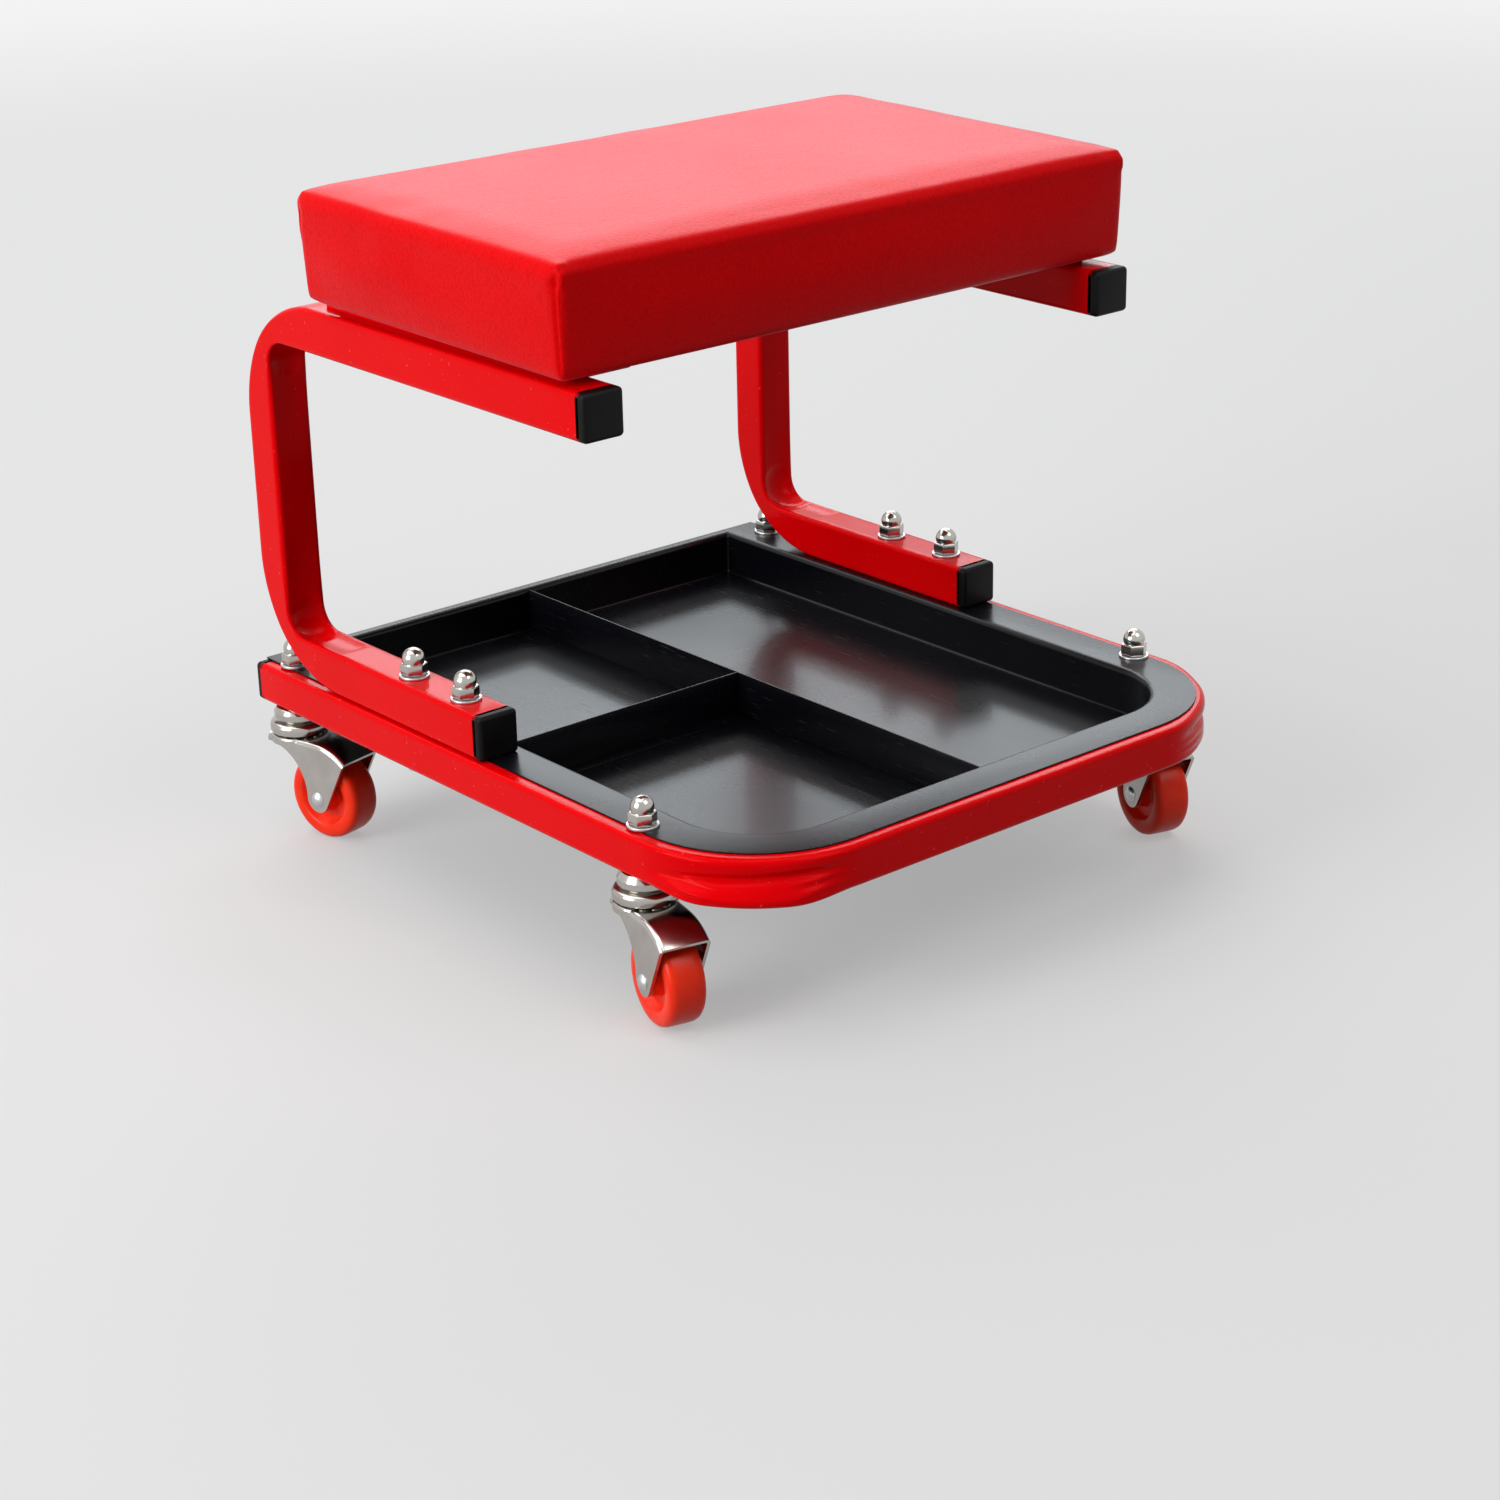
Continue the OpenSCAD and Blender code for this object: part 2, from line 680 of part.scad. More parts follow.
module caster_washers() {
    color("silver") at_casters() translate([0, 0, flange_top]) flat_washer();
}

module caster_cap_nuts() {
    color("silver") at_casters() translate([0, 0, flange_top + washer_t]) cap_nut();
}

// Moves a caster piece from the swivel axis at the origin to its own corner
module at_caster(i) {
    translate([caster_places[i][0], caster_places[i][1], 0]) rotate([0, 0, trail_dirs[i]]) children();
}

// Threaded stem with a round collar, and the swivel pin riveted over under the fork
module caster_stem() {
    pin_end = fork_top - fork_t - seat_gap;
    color("silver") {
        translate([0, 0, base_z]) cylinder(h = flange_top + washer_t + stem_reach - base_z, r = bolt_d / 2);
        translate([0, 0, race_top]) cylinder(h = collar_h / 2, r = collar_r);
        translate([0, 0, race_top + collar_h / 2])
            cylinder(h = collar_h / 2, r1 = collar_r, r2 = collar_r - collar_h / 3);
        translate([0, 0, pin_end]) cylinder(h = race_top - pin_end, r = pin_r);
        translate([0, 0, pin_end]) rotate([180, 0, 0]) intersection() {
            cylinder(h = pin_head_h, r = pin_head_r);
            translate([0, 0, pin_head_h - pin_head_r * 1.5]) sphere(pin_head_r * 1.5);
        }
    }
}

// Pressed cap over the balls: a boss on top, a shoulder, and a lip around the race
module race_cap() {
    r = race_d / 2;
    bend = fork_t * 1.1;
    color("silver")
    rotate_extrude() difference() {
        union() {
            translate([0, cap_lip]) square([r, race_h - bend]);
            translate([0, cap_lip]) square([r - bend, race_h]);
            translate([r - bend, cap_shoulder - bend]) circle(bend);
            translate([0, cap_lip]) square([cap_boss_r, race_top - cap_lip]);
        }
        translate([-over, cap_lip - over]) square([over + r - fork_t, ball_ceiling - cap_lip + over]);
        translate([-over, cap_lip]) square([over + cap_boss_r - fork_t, race_top - fork_t - cap_lip]);
        translate([-over, cap_lip]) square([over + pin_r + fit_gap, race_top - cap_lip + over]);
        translate([-3 * r, cap_lip - r]) square([3 * r, 3 * r]);
    }
}

module race_balls() {
    color("silver")
    for (k = [0:ball_count - 1]) rotate([0, 0, 360 * k / ball_count])
        translate([ball_path_r, 0, ball_z]) sphere(ball_r, $fn = 24);
}

// Side view of the fork, x along the trail and y up: two plates that sweep down to the axle.
// Above the sheet it is left open, so only its front, rear and lower edges trim the fork.
module fork_outline() {
    touch = hood_end - acos(lobe_r / hood_r);
    low_tip = [trail + lobe_r * cos(touch), axle_z + lobe_r * sin(touch)];
    hood_tip = [trail + hood_r * cos(hood_end), axle_z + hood_r * sin(hood_end)];
    far_tip = hood_tip + (hood_tip - low_tip) / 2;
    difference() {
        union() {
            translate([-plate_rear, axle_z]) square([plate_rear + trail, hood_r + over]);
            polygon([[trail, axle_z], low_tip, far_tip, [trail, axle_z + hood_r + over]]);
            translate([trail, axle_z]) circle(lobe_r);
        }
        translate([scoop_x, axle_z + scoop_r * 0.02]) circle(scoop_r);
    }
}

// Section across the fork with its top edge at y = 0 and its two upper corners bent round
module fork_section(half_w, r, drop) {
    translate([-half_w, -drop]) square([2 * half_w, drop - r]);
    translate([r - half_w, -drop]) square([2 * (half_w - r), drop]);
    for (x = [-1, 1]) translate([x * (half_w - r), -r]) circle(r);
}

// The block that the fork's sheet is folded round: straight over the race, then round the wheel.
// Its round part leaves out a core that is smaller than the axle's hole.
module fork_block(inset, ends) {
    half_w = fork_w / 2 - inset;
    r = fork_bend_r - inset;
    top_r = hood_r - inset;
    below = lobe_r + over;
    translate([-plate_rear - ends, 0, axle_z + top_r]) rotate([90, 0, 90])
        linear_extrude(plate_rear + trail + ends) fork_section(half_w, r, top_r + below);
    translate([trail, 0, axle_z]) rotate([90, 0, 0]) rotate_extrude(angle = 90)
        translate([top_r, 0]) rotate(-90) fork_section(half_w, r, top_r - axle_d / 4);
    translate([trail, -half_w, axle_z - below]) cube([top_r, 2 * half_w, below]);
}

// Dish on top of the fork that carries the lower race, with a rim turned down round it
module fork_dish() {
    r = race_d / 2;
    rim = fork_t;
    translate([0, 0, fork_top]) rotate_extrude() difference() {
        union() {
            translate([0, -dish_drop]) square([r, dish_drop - rim]);
            translate([0, -dish_drop]) square([r - rim, dish_drop]);
            translate([r - rim, -rim]) circle(rim);
        }
        translate([0, -dish_drop - over]) square([r - fork_t, dish_drop + over - fork_t]);
        translate([-r, -r]) square([r, 2 * r]);
    }
}

// Stamped fork: the dish, the bent top sheet with its hood, and the two side plates
module caster_fork() {
    color("silver")
    difference() {
        union() {
            difference() {
                intersection() {
                    fork_block(0, 0);
                    rotate([90, 0, 0]) linear_extrude(2 * fork_w, center = true) fork_outline();
                }
                fork_block(fork_t, over);
            }
            fork_dish();
        }
        translate([0, 0, fork_top - dish_drop]) cylinder(h = dish_drop + over, r = pin_r + run_gap);
        translate([0, 0, ball_z]) rotate_extrude() translate([ball_path_r, 0]) circle(ball_r + run_gap);
        translate([trail, fork_w, axle_z]) rotate([90, 0, 0])
            cylinder(h = 2 * fork_w, r = axle_d / 2 + fit_gap);
    }
}

// Axle rivet with a domed head outside each side plate
module caster_axle() {
    head_ball_r = (rivet_head_r * rivet_head_r + rivet_head_h * rivet_head_h) / (2 * rivet_head_h);
    color("silver")
    translate([trail, 0, axle_z]) rotate([90, 0, 0]) {
        translate([0, 0, -fork_w / 2]) cylinder(h = fork_w, r = axle_d / 2);
        for (s = [0, 1])
            mirror([0, 0, s]) intersection() {
                translate([0, 0, fork_w / 2]) cylinder(h = rivet_head_h, r = rivet_head_r + over);
                translate([0, 0, fork_w / 2 + rivet_head_h - head_ball_r]) sphere(head_ball_r);
            }
    }
}

// Moulded wheel: a tread with round shoulders, a recess in each face and a hub
module caster_wheel() {
    r = wheel_d / 2;
    half = wheel_w / 2;
    color([0.95, 0.2, 0.1])
    translate([trail, 0, axle_z]) rotate([90, 0, 0]) rotate_extrude() difference() {
        union() {
            translate([0, -half + shoulder_r]) square([r, wheel_w - 2 * shoulder_r]);
            translate([0, -half]) square([r - shoulder_r, wheel_w]);
            for (s = [-1, 1]) translate([r - shoulder_r, s * (half - shoulder_r)]) circle(shoulder_r);
            translate([0, -hub_w / 2]) square([hub_r, hub_w]);
        }
        for (s = [-1, 1])
            polygon([[hub_r, s * web_w / 2], [recess_r, s * web_w / 2],
                [recess_r + rim_slope, s * half], [recess_r + rim_slope, s * (half + over)],
                [hub_r, s * (half + over)]]);
        translate([-over, -hub_w]) square([over + bush_r + fit_gap, 2 * hub_w]);
    }
}

// Steel sleeve in the wheel's hub, which turns on the axle
module caster_bush() {
    color("silver")
    translate([trail, 0, axle_z]) rotate([90, 0, 0]) difference() {
        translate([0, 0, -hub_w / 2]) cylinder(h = hub_w, r = bush_r);
        translate([0, 0, -hub_w]) cylinder(h = 2 * hub_w, r = axle_d / 2 + run_gap);
    }
}

base_frame();
base_plugs();
tool_tray();
long_divider();
cross_divider();
for (i = [0, 1]) {
    seat_frame(2 * i - 1);
    seat_plate(2 * i - 1);
}
arm_plugs(arm_up_front, frame_top - frame_tube / 2);  // upper_arm_plugs
arm_plugs(arm_low_front, frame_z + frame_tube / 2);  // lower_arm_plugs
seat_cover();
seat_foam();
seat_board();
seat_tee_nuts();
seat_bolts();
seat_bolt_washers();
frame_bolts();
frame_washers();
frame_cap_nuts();
caster_washers();
caster_cap_nuts();
for (i = [0:3]) {
    at_caster(i) caster_stem();
    at_caster(i) race_cap();
    at_caster(i) race_balls();
    at_caster(i) caster_fork();
    at_caster(i) caster_axle();
    at_caster(i) caster_wheel();
    at_caster(i) caster_bush();
}
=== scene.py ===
"""Looks of the creeper seat: padded vinyl seat, bent tube frames, tool tray and swivel casters.

Pieces are shaped in millimetres in the solids' own frame and brought to metres once, in finish_piece().
"""
import math

import bmesh
import bpy
from mathutils import Matrix, Vector


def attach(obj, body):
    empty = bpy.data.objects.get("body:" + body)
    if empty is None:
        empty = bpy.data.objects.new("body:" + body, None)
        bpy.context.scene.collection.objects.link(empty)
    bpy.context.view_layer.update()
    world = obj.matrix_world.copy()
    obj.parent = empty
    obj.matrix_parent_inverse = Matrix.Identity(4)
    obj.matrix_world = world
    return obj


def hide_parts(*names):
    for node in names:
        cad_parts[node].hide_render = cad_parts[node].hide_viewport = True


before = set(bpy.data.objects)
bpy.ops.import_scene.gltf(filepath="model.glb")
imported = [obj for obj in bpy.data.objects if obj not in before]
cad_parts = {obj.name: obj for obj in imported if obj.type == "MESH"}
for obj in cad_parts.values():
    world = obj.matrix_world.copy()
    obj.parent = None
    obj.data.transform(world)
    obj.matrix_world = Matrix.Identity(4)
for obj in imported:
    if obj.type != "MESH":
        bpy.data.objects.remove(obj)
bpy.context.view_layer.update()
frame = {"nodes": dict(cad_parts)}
nodes = frame["nodes"]
MM = 0.001
ROOT = "seat_and_base"

# Base frame and seat frames
TUBE_WALL = 1.2
TUBE_EDGE_R = 2.6
BEND_STEPS = 44
BASE_SIDE = 191.0
BASE_FRONT = -216.25
BASE_REAR = 212.25
BASE_BOTTOM = 75.0
BASE_TUBE = (25.0, 22.5)
BASE_BEND_R = 80.0
BASE_BEND_AT = (BASE_SIDE - BASE_BEND_R, BASE_FRONT + BASE_BEND_R)
# How far a base bend's outer wall moves out as a whole, at its crease, its upper and its lower
# lip, and how far its foot sinks
LEFT_BEND = (0.0, -2.6, 0.5, 5.0, 2.3)
RIGHT_BEND = (-3.0, -2.6, 0.5, 0.4, 1.0)
CREASE_LEVEL = 0.05
CREASE_CLIMB = 0.006
CREASE_HALF = 0.2
WRINKLE = 0.75
FRAME_TUBE = 25.0
FRAME_X = 176.5
FRAME_REAR = 205.5
FRAME_BOTTOM = 98.3
FRAME_HEIGHT = 220.0
FRAME_BEND_R = 70.0
FRAME_CORNER_R = 14.0
FRAME_ARM_LOW = 2.0
FRAME_ARM_UP = -100.0
DENT_R = 24.0
DENT_DEPTH = 2.4
VALLEY_REACH = 37.0
VALLEY_DEPTH = 0.9
PLUG_HEAD = 4.5
PLUG_ROUND = 2.2

# Tray, flush with its flange on the base, and its dividers
SHEET = 1.0
FOLD_R = 2.4
FLANGE_BOTTOM = 97.5
FLANGE_SIDE = 183.5
FLANGE_FRONT = -208.75
FLANGE_REAR = 216.25
FLANGE_R = 72.5
WALL_SIDE = 159.0
WALL_FRONT = -184.25
WALL_REAR = 210.25
WALL_R = 48.0
TRAY_BOTTOM = 71.3
DIVIDER_Y = 12.25
DIVIDER_SHEET = 0.9
DIVIDER_FOOT = 9.0

# Seat
SEAT_Y = 18.25
SEAT_SIZE = (391.6, 229.6, 59.4)
SEAT_BOTTOM = 321.3
SEAT_TAPER = 2.6
SEAT_REAR_RISE = 3.2
RIM_RISE = 3.0
CROWN = 1.8
UPRIGHT_R = 2.5
TOP_RIM_R = 6.5
LOW_RIM_R = 5.5
VOXEL = 4.0
SWELL = 4.0
SWELL_SHARE = 0.85
FOLD_DEPTH = 0.8
DIMPLE_DEPTH = 1.3
HEM = 30.0
HEM_LIFT = 5.0
PLATE = (41.0, 213.0, 3.0)
PLATE_X = 159.5
PLATE_Y = 26.5
ARM_TOP = FRAME_BOTTOM + FRAME_HEIGHT

# Bolts and casters
NUT_FLATS = 13.0
NUT_HEX_H = 6.5
NUT_H = 15.0
WASHER_R = 8.5
WASHER_T = 1.6
WHEEL_R = 25.0
WHEEL_W = 20.5
TRAIL = 24.0
FRAME_BOLT_Y = (26.5, 74.5)
CASTERS = {
    "front_left": (-178.5, -125.6, -103.0),
    "front_right": (178.5, -125.6, -106.0),
    "rear_left": (-178.5, 193.6, -77.0),
    "rear_right": (178.5, 193.6, -77.0),
}

# Camera of the photograph
CAMERA_AT = (-1.06224, -1.2663, 0.7167)
CAMERA_AZIMUTH = -39.93
CAMERA_ELEVATION = 21.87
CAMERA_ROLL = -1.26
CAMERA_LENS = 75.18

# Light of the world on the object, and how bright it is seen and mirrored
WORLD_LIGHT = 0.1
WORLD_SEEN = 0.9


class Value:
    """A shader socket that takes part in sums, each of which adds its Math node."""

    def __init__(self, nodes, socket):
        self.nodes = nodes
        self.socket = socket

    def __add__(self, other):
        return self.nodes.math("ADD", self, other)

    def __radd__(self, other):
        return self.nodes.math("ADD", other, self)

    def __sub__(self, other):
        return self.nodes.math("SUBTRACT", self, other)

    def __rsub__(self, other):
        return self.nodes.math("SUBTRACT", other, self)

    def __mul__(self, other):
        return self.nodes.math("MULTIPLY", self, other)

    def __rmul__(self, other):
        return self.nodes.math("MULTIPLY", other, self)


class Nodes:
    """The nodes of one material or of the world."""

    def __init__(self, tree):
        self.tree = tree

    def node(self, kind, settings, sockets):
        """Adds a node: its settings first, then the values or links of its sockets."""
        made = self.tree.nodes.new("ShaderNode" + kind)
        for setting, value in settings.items():
            setattr(made, setting, value)
        for socket, value in sockets.items():
            self.feed(made.inputs[socket], value)
        return made

    def feed(self, socket, value):
        """Links a Value to a socket, or sets the socket to a constant."""
        if isinstance(value, Value):
            self.tree.links.new(value.socket, socket)
        else:
            socket.default_value = value

    def out(self, made, name):
        """A node's output by its name or place."""
        return Value(self, made.outputs[name])

    def math(self, operation, first, second):
        return self.out(self.node("Math", {"operation": operation}, {0: first, 1: second}), 0)

    def mix(self, share, first, second):
        """A colour between two colours, which the node takes at its inputs 6 and 7."""
        sockets = {"Factor": share, 6: first, 7: second}
        return self.out(self.node("Mix", {"data_type": "RGBA"}, sockets), 2)

    def seen(self):
        """1 for what the camera sees, also mirrored or through glass, and 0 for light on the object."""
        ray = self.node("LightPath", {}, {})
        mirror, glass = self.out(ray, "Is Glossy Ray"), self.out(ray, "Is Transmission Ray")
        mirrored = self.math("MAXIMUM", mirror, glass)
        return self.math("MAXIMUM", self.out(ray, "Is Camera Ray"), mirrored)


class Finish(Nodes):
    """One procedural material, built on a Principled shader."""

    def __init__(self, name, **shader):
        self.material = bpy.data.materials.new(name)
        self.material.use_nodes = True
        super().__init__(self.material.node_tree)
        self.shader = self.tree.nodes["Principled BSDF"]
        for socket, value in shader.items():
            self.shader.inputs[socket.replace("_", " ")].default_value = value

    def between(self, value, low, high):
        """0 below low, 1 above high, and a smooth rise from one to the other."""
        return self.out(self.node("MapRange", {"interpolation_type": "SMOOTHSTEP"},
                                  {"Value": value, "From Min": low, "From Max": high}), "Result")

    def place(self, scale=(1.0, 1.0, 1.0)):
        """Object coordinates in metres, stretched."""
        where = self.node("TexCoord", {}, {})
        return self.out(self.node("Mapping", {}, {"Vector": self.out(where, "Object"), "Scale": scale}),
                        "Vector")

    def noise(self, where, scale, detail=3.0, roughness=0.5, distortion=0.0):
        return self.out(self.node("TexNoise", {}, {"Vector": where, "Scale": scale, "Detail": detail,
                                                   "Roughness": roughness, "Distortion": distortion}),
                        "Fac")

    def cells(self, where, scale, output="Distance"):
        return self.out(self.node("TexVoronoi", {}, {"Vector": where, "Scale": scale}), output)

    def bump(self, height, distance, strength=1.0):
        made = self.node("Bump", {}, {"Height": height, "Distance": distance, "Strength": strength})
        self.feed(self.shader.inputs["Normal"], self.out(made, "Normal"))

    def set(self, socket, value):
        """Feeds one of the shader's own sockets."""
        self.feed(self.shader.inputs[socket], value)


def colour(red, green, blue):
    """A colour from its shown values, 0 to 255."""
    return tuple((value / 255.0) ** 2.2 for value in (red, green, blue)) + (1.0,)


def red_paint():
    """Glossy red enamel with a faint orange peel and settled dust."""
    finish = Finish("red_enamel", IOR=1.16, Coat_Roughness=0.06, Specular_Tint=(1.0, 0.06, 0.06, 1.0))
    where = finish.place()
    clouds = finish.noise(where, 14.0, 4.0)
    peel = finish.noise(where, 420.0, 2.0)
    specks = finish.between(finish.noise(where, 520.0, 1.0), 0.74, 0.78)
    tint = finish.mix(clouds, colour(216, 0, 12), colour(230, 2, 16))
    finish.set("Base Color", finish.mix(specks * 0.25, tint, colour(240, 150, 150)))
    finish.set("Roughness", 0.15 + 0.08 * clouds)
    finish.set("Coat Weight", 0.02 + 0.04 * clouds)
    finish.bump(peel, 0.00012, 0.35)
    return finish.material


def tray_paint():
    """Glossy black enamel with fine scuffs along the tray."""
    finish = Finish("black_enamel", IOR=1.5, Coat_Roughness=0.08, Specular_IOR_Level=0.22)
    where = finish.place()
    clouds = finish.noise(where, 11.0, 5.0)
    scuffs = finish.between(finish.noise(finish.place(scale=(40.0, 2.5, 40.0)), 22.0, 3.0), 0.62, 0.8)
    tint = finish.mix(clouds, colour(8, 8, 11), colour(20, 21, 26))
    finish.set("Base Color", finish.mix(scuffs * 0.3, tint, colour(70, 72, 78)))
    finish.set("Roughness", 0.2 + 0.14 * clouds + 0.12 * scuffs)
    finish.set("Coat Weight", 0.02 + 0.06 * clouds)
    finish.bump(finish.noise(where, 360.0, 2.0), 0.0001, 0.3)
    return finish.material


def red_vinyl():
    """Red upholstery vinyl: pebbled grain, soft creases and a satin sheen."""
    finish = Finish("red_vinyl", IOR=1.4, Sheen_Weight=0.13, Sheen_Roughness=0.4,
                    Sheen_Tint=(1.0, 0.6, 0.86, 1.0), Specular_IOR_Level=0.1,
                    Specular_Tint=(1.0, 0.2, 0.24, 1.0))
    where = finish.place()
    clouds = finish.noise(where, 9.0, 4.0)
    pebbles = finish.cells(where, 620.0)
    pores = finish.noise(where, 1500.0, 2.0)
    creases = finish.noise(finish.place(scale=(1.0, 1.6, 1.0)), 38.0, 3.0, 0.55, 0.6)
    tint = finish.mix(clouds, colour(214, 6, 12), colour(234, 18, 18))
    finish.set("Base Color", finish.mix(pebbles * 0.35, tint, colour(150, 2, 12)))
    finish.set("Roughness", 0.27 + 0.1 * clouds + 0.08 * pebbles)
    finish.bump(pebbles * 0.6 + pores * 0.25 + creases * 1.2, 0.0003, 0.4)
    return finish.material


def black_plastic():
    """Moulded black plastic with a fine spark-eroded texture."""
    finish = Finish("black_plastic", IOR=1.46, Specular_IOR_Level=0.15)
    where = finish.place()
    grain = finish.noise(where, 2400.0, 2.0)
    clouds = finish.noise(where, 60.0, 3.0)
    finish.set("Base Color", finish.mix(clouds, colour(6, 5, 5), colour(13, 12, 12)))
    finish.set("Roughness", 0.38 + 0.14 * clouds)
    finish.bump(grain, 0.00008, 0.5)
    return finish.material


def chrome():
    """Bright plated sheet, slightly cloudy, with fine drawing lines."""
    finish = Finish("bright_chrome", Metallic=1.0)
    where = finish.place()
    clouds = finish.noise(where, 70.0, 4.0)
    lines = finish.noise(finish.place(scale=(1.0, 1.0, 9.0)), 300.0, 2.0)
    finish.set("Base Color", finish.mix(clouds, colour(166, 161, 154), colour(198, 195, 190)))
    finish.set("Roughness", 0.1 + 0.1 * clouds + 0.06 * lines)
    finish.bump(clouds + 0.2 * lines, 0.00015, 0.3)
    return finish.material


def zinc():
    """Zinc-plated steel with a faint spangle."""
    finish = Finish("bright_zinc", Metallic=1.0)
    where = finish.place()
    spangle = finish.cells(where, 900.0, output="Color")
    clouds = finish.noise(where, 160.0, 3.0)
    finish.set("Base Color", finish.mix(spangle * 0.4, colour(188, 188, 190), colour(222, 222, 224)))
    finish.set("Roughness", 0.26 + 0.14 * clouds)
    finish.bump(clouds, 0.0001, 0.35)
    return finish.material


def wheel_plastic():
    """Slightly translucent orange-red moulded plastic with swirl marks."""
    finish = Finish("wheel_plastic", IOR=1.3, Subsurface_Weight=0.3, Subsurface_Scale=0.5,
                    Subsurface_Radius=(0.01, 0.002, 0.001))
    where = finish.place()
    swirl = finish.noise(where, 55.0, 4.0, 0.5, 1.2)
    scuffs = finish.between(finish.noise(where, 260.0, 3.0), 0.58, 0.75)
    tint = finish.mix(swirl, colour(236, 34, 8), colour(254, 60, 18))
    finish.set("Base Color", finish.mix(scuffs * 0.2, tint, colour(190, 90, 70)))
    finish.set("Roughness", 0.24 + 0.14 * swirl + 0.15 * scuffs)
    finish.bump(swirl + 0.3 * scuffs, 0.0002, 0.3)
    return finish.material


def plywood():
    """Raw poplar plywood: long grain and dark flecks."""
    finish = Finish("plywood", IOR=1.45)
    where = finish.place(scale=(3.0, 40.0, 40.0))
    grain = finish.noise(where, 6.0, 6.0, 0.6, 0.8)
    flecks = finish.between(finish.noise(where, 40.0, 2.0), 0.6, 0.72)
    tint = finish.mix(grain, colour(196, 158, 108), colour(224, 192, 146))
    finish.set("Base Color", finish.mix(flecks * 0.5, tint, colour(140, 98, 58)))
    finish.set("Roughness", 0.62 + 0.15 * grain)
    finish.bump(grain + 0.5 * flecks, 0.0004, 0.4)
    return finish.material


def foam():
    """Cream seat foam with open cells."""
    finish = Finish("cream_foam")
    where = finish.place()
    cells = finish.cells(where, 900.0)
    finish.set("Base Color", finish.mix(cells, colour(214, 198, 150), colour(240, 228, 190)))
    finish.set("Roughness", 0.8 + 0.15 * cells)
    finish.bump(cells, 0.0005, 0.6)
    return finish.material


def pale_floor():
    """Studio floor: it shows pale, with a painted glow that brightens far off, keeps shadows and throws
    little light back.
    """
    finish = Finish("pale_floor", Roughness=0.9, Specular_IOR_Level=0.1)
    finish.set("Base Color", finish.mix(finish.seen(), colour(150, 150, 150), colour(232, 232, 232)))
    # Painted glow: an emission that is no lamp, seen by camera and mirror rays, brighter with distance
    away = finish.node("VectorMath", {"operation": "LENGTH"}, {0: finish.place()})
    far = finish.between(finish.out(away, "Value"), 0.5, 3.6)
    pale = finish.mix(far, colour(206, 206, 206), colour(243, 243, 243))
    painted_glow = finish.node("Emission", {}, {"Color": pale})
    shown = finish.node("MixShader", {}, {"Fac": finish.seen() * (0.6 + 0.4 * far)})
    ends = {0: finish.shader.outputs["BSDF"], 1: painted_glow.outputs["Emission"]}
    for slot, end in ends.items():
        finish.tree.links.new(end, shown.inputs[slot + 1])
    surface = finish.tree.nodes["Material Output"].inputs["Surface"]
    finish.tree.links.new(shown.outputs["Shader"], surface)
    return finish.material


RED_PAINT = red_paint()
TRAY_PAINT = tray_paint()
RED_VINYL = red_vinyl()
BLACK_PLASTIC = black_plastic()
CHROME = chrome()
ZINC = zinc()
WHEEL_PLASTIC = wheel_plastic()
PLYWOOD = plywood()
FOAM = foam()


def finish_piece(name, shape, material, body, stands_for=(), sharp=32.0):
    """Brings a bmesh in millimetres to metres and makes it a piece that rides on a body."""
    bmesh.ops.scale(shape, vec=(MM, MM, MM), verts=shape.verts)
    mesh = bpy.data.meshes.new(name)
    shape.to_mesh(mesh)
    shape.free()
    mesh.materials.append(material)
    mesh.shade_smooth()
    mesh.set_sharp_from_angle(angle=math.radians(sharp))
    piece = bpy.data.objects.new(name, mesh)
    bpy.context.scene.collection.objects.link(piece)
    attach(piece, body)
    if stands_for:
        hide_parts(*stands_for)
    return piece


def even_normals(piece):
    """Lets the flat faces set the shading beside the narrow round ones."""
    weigh = piece.modifiers.new("even_normals", "WEIGHTED_NORMAL")
    weigh.keep_sharp = True
    weigh.weight = 80


def thicken(piece, wall):
    """Gives a sheet its wall, on the side that its faces point away from."""
    solid = piece.modifiers.new("wall", "SOLIDIFY")
    solid.thickness = wall * MM
    solid.offset = -1.0
    solid.use_even_offset = True


def verts_of(geom):
    return [item for item in geom if isinstance(item, bmesh.types.BMVert)]


def edges_of(geom):
    return [item for item in geom if isinstance(item, bmesh.types.BMEdge)]


def block(width, length, height, at, round_z=0.0, round_all=0.0, steps=3):
    """A block centred on a point, with its upright edges and then its other edges rounded."""
    shape = bmesh.new()
    bmesh.ops.create_cube(shape, size=1.0)
    bmesh.ops.scale(shape, vec=(width, length, height), verts=shape.verts)
    if round_z:
        upright = [edge for edge in shape.edges
                   if abs(edge.verts[0].co.z - edge.verts[1].co.z) > height / 2]
        bmesh.ops.bevel(shape, geom=upright, offset=round_z, segments=steps + 2, profile=0.5,
                        affect="EDGES", material=-1)
    if round_all:
        sharp_edges = [edge for edge in shape.edges if edge.calc_face_angle(0.0) > math.radians(50)]
        bmesh.ops.bevel(shape, geom=sharp_edges, offset=round_all, segments=steps, profile=0.5,
                        affect="EDGES", material=-1)
    bmesh.ops.translate(shape, vec=at, verts=shape.verts)
    return shape


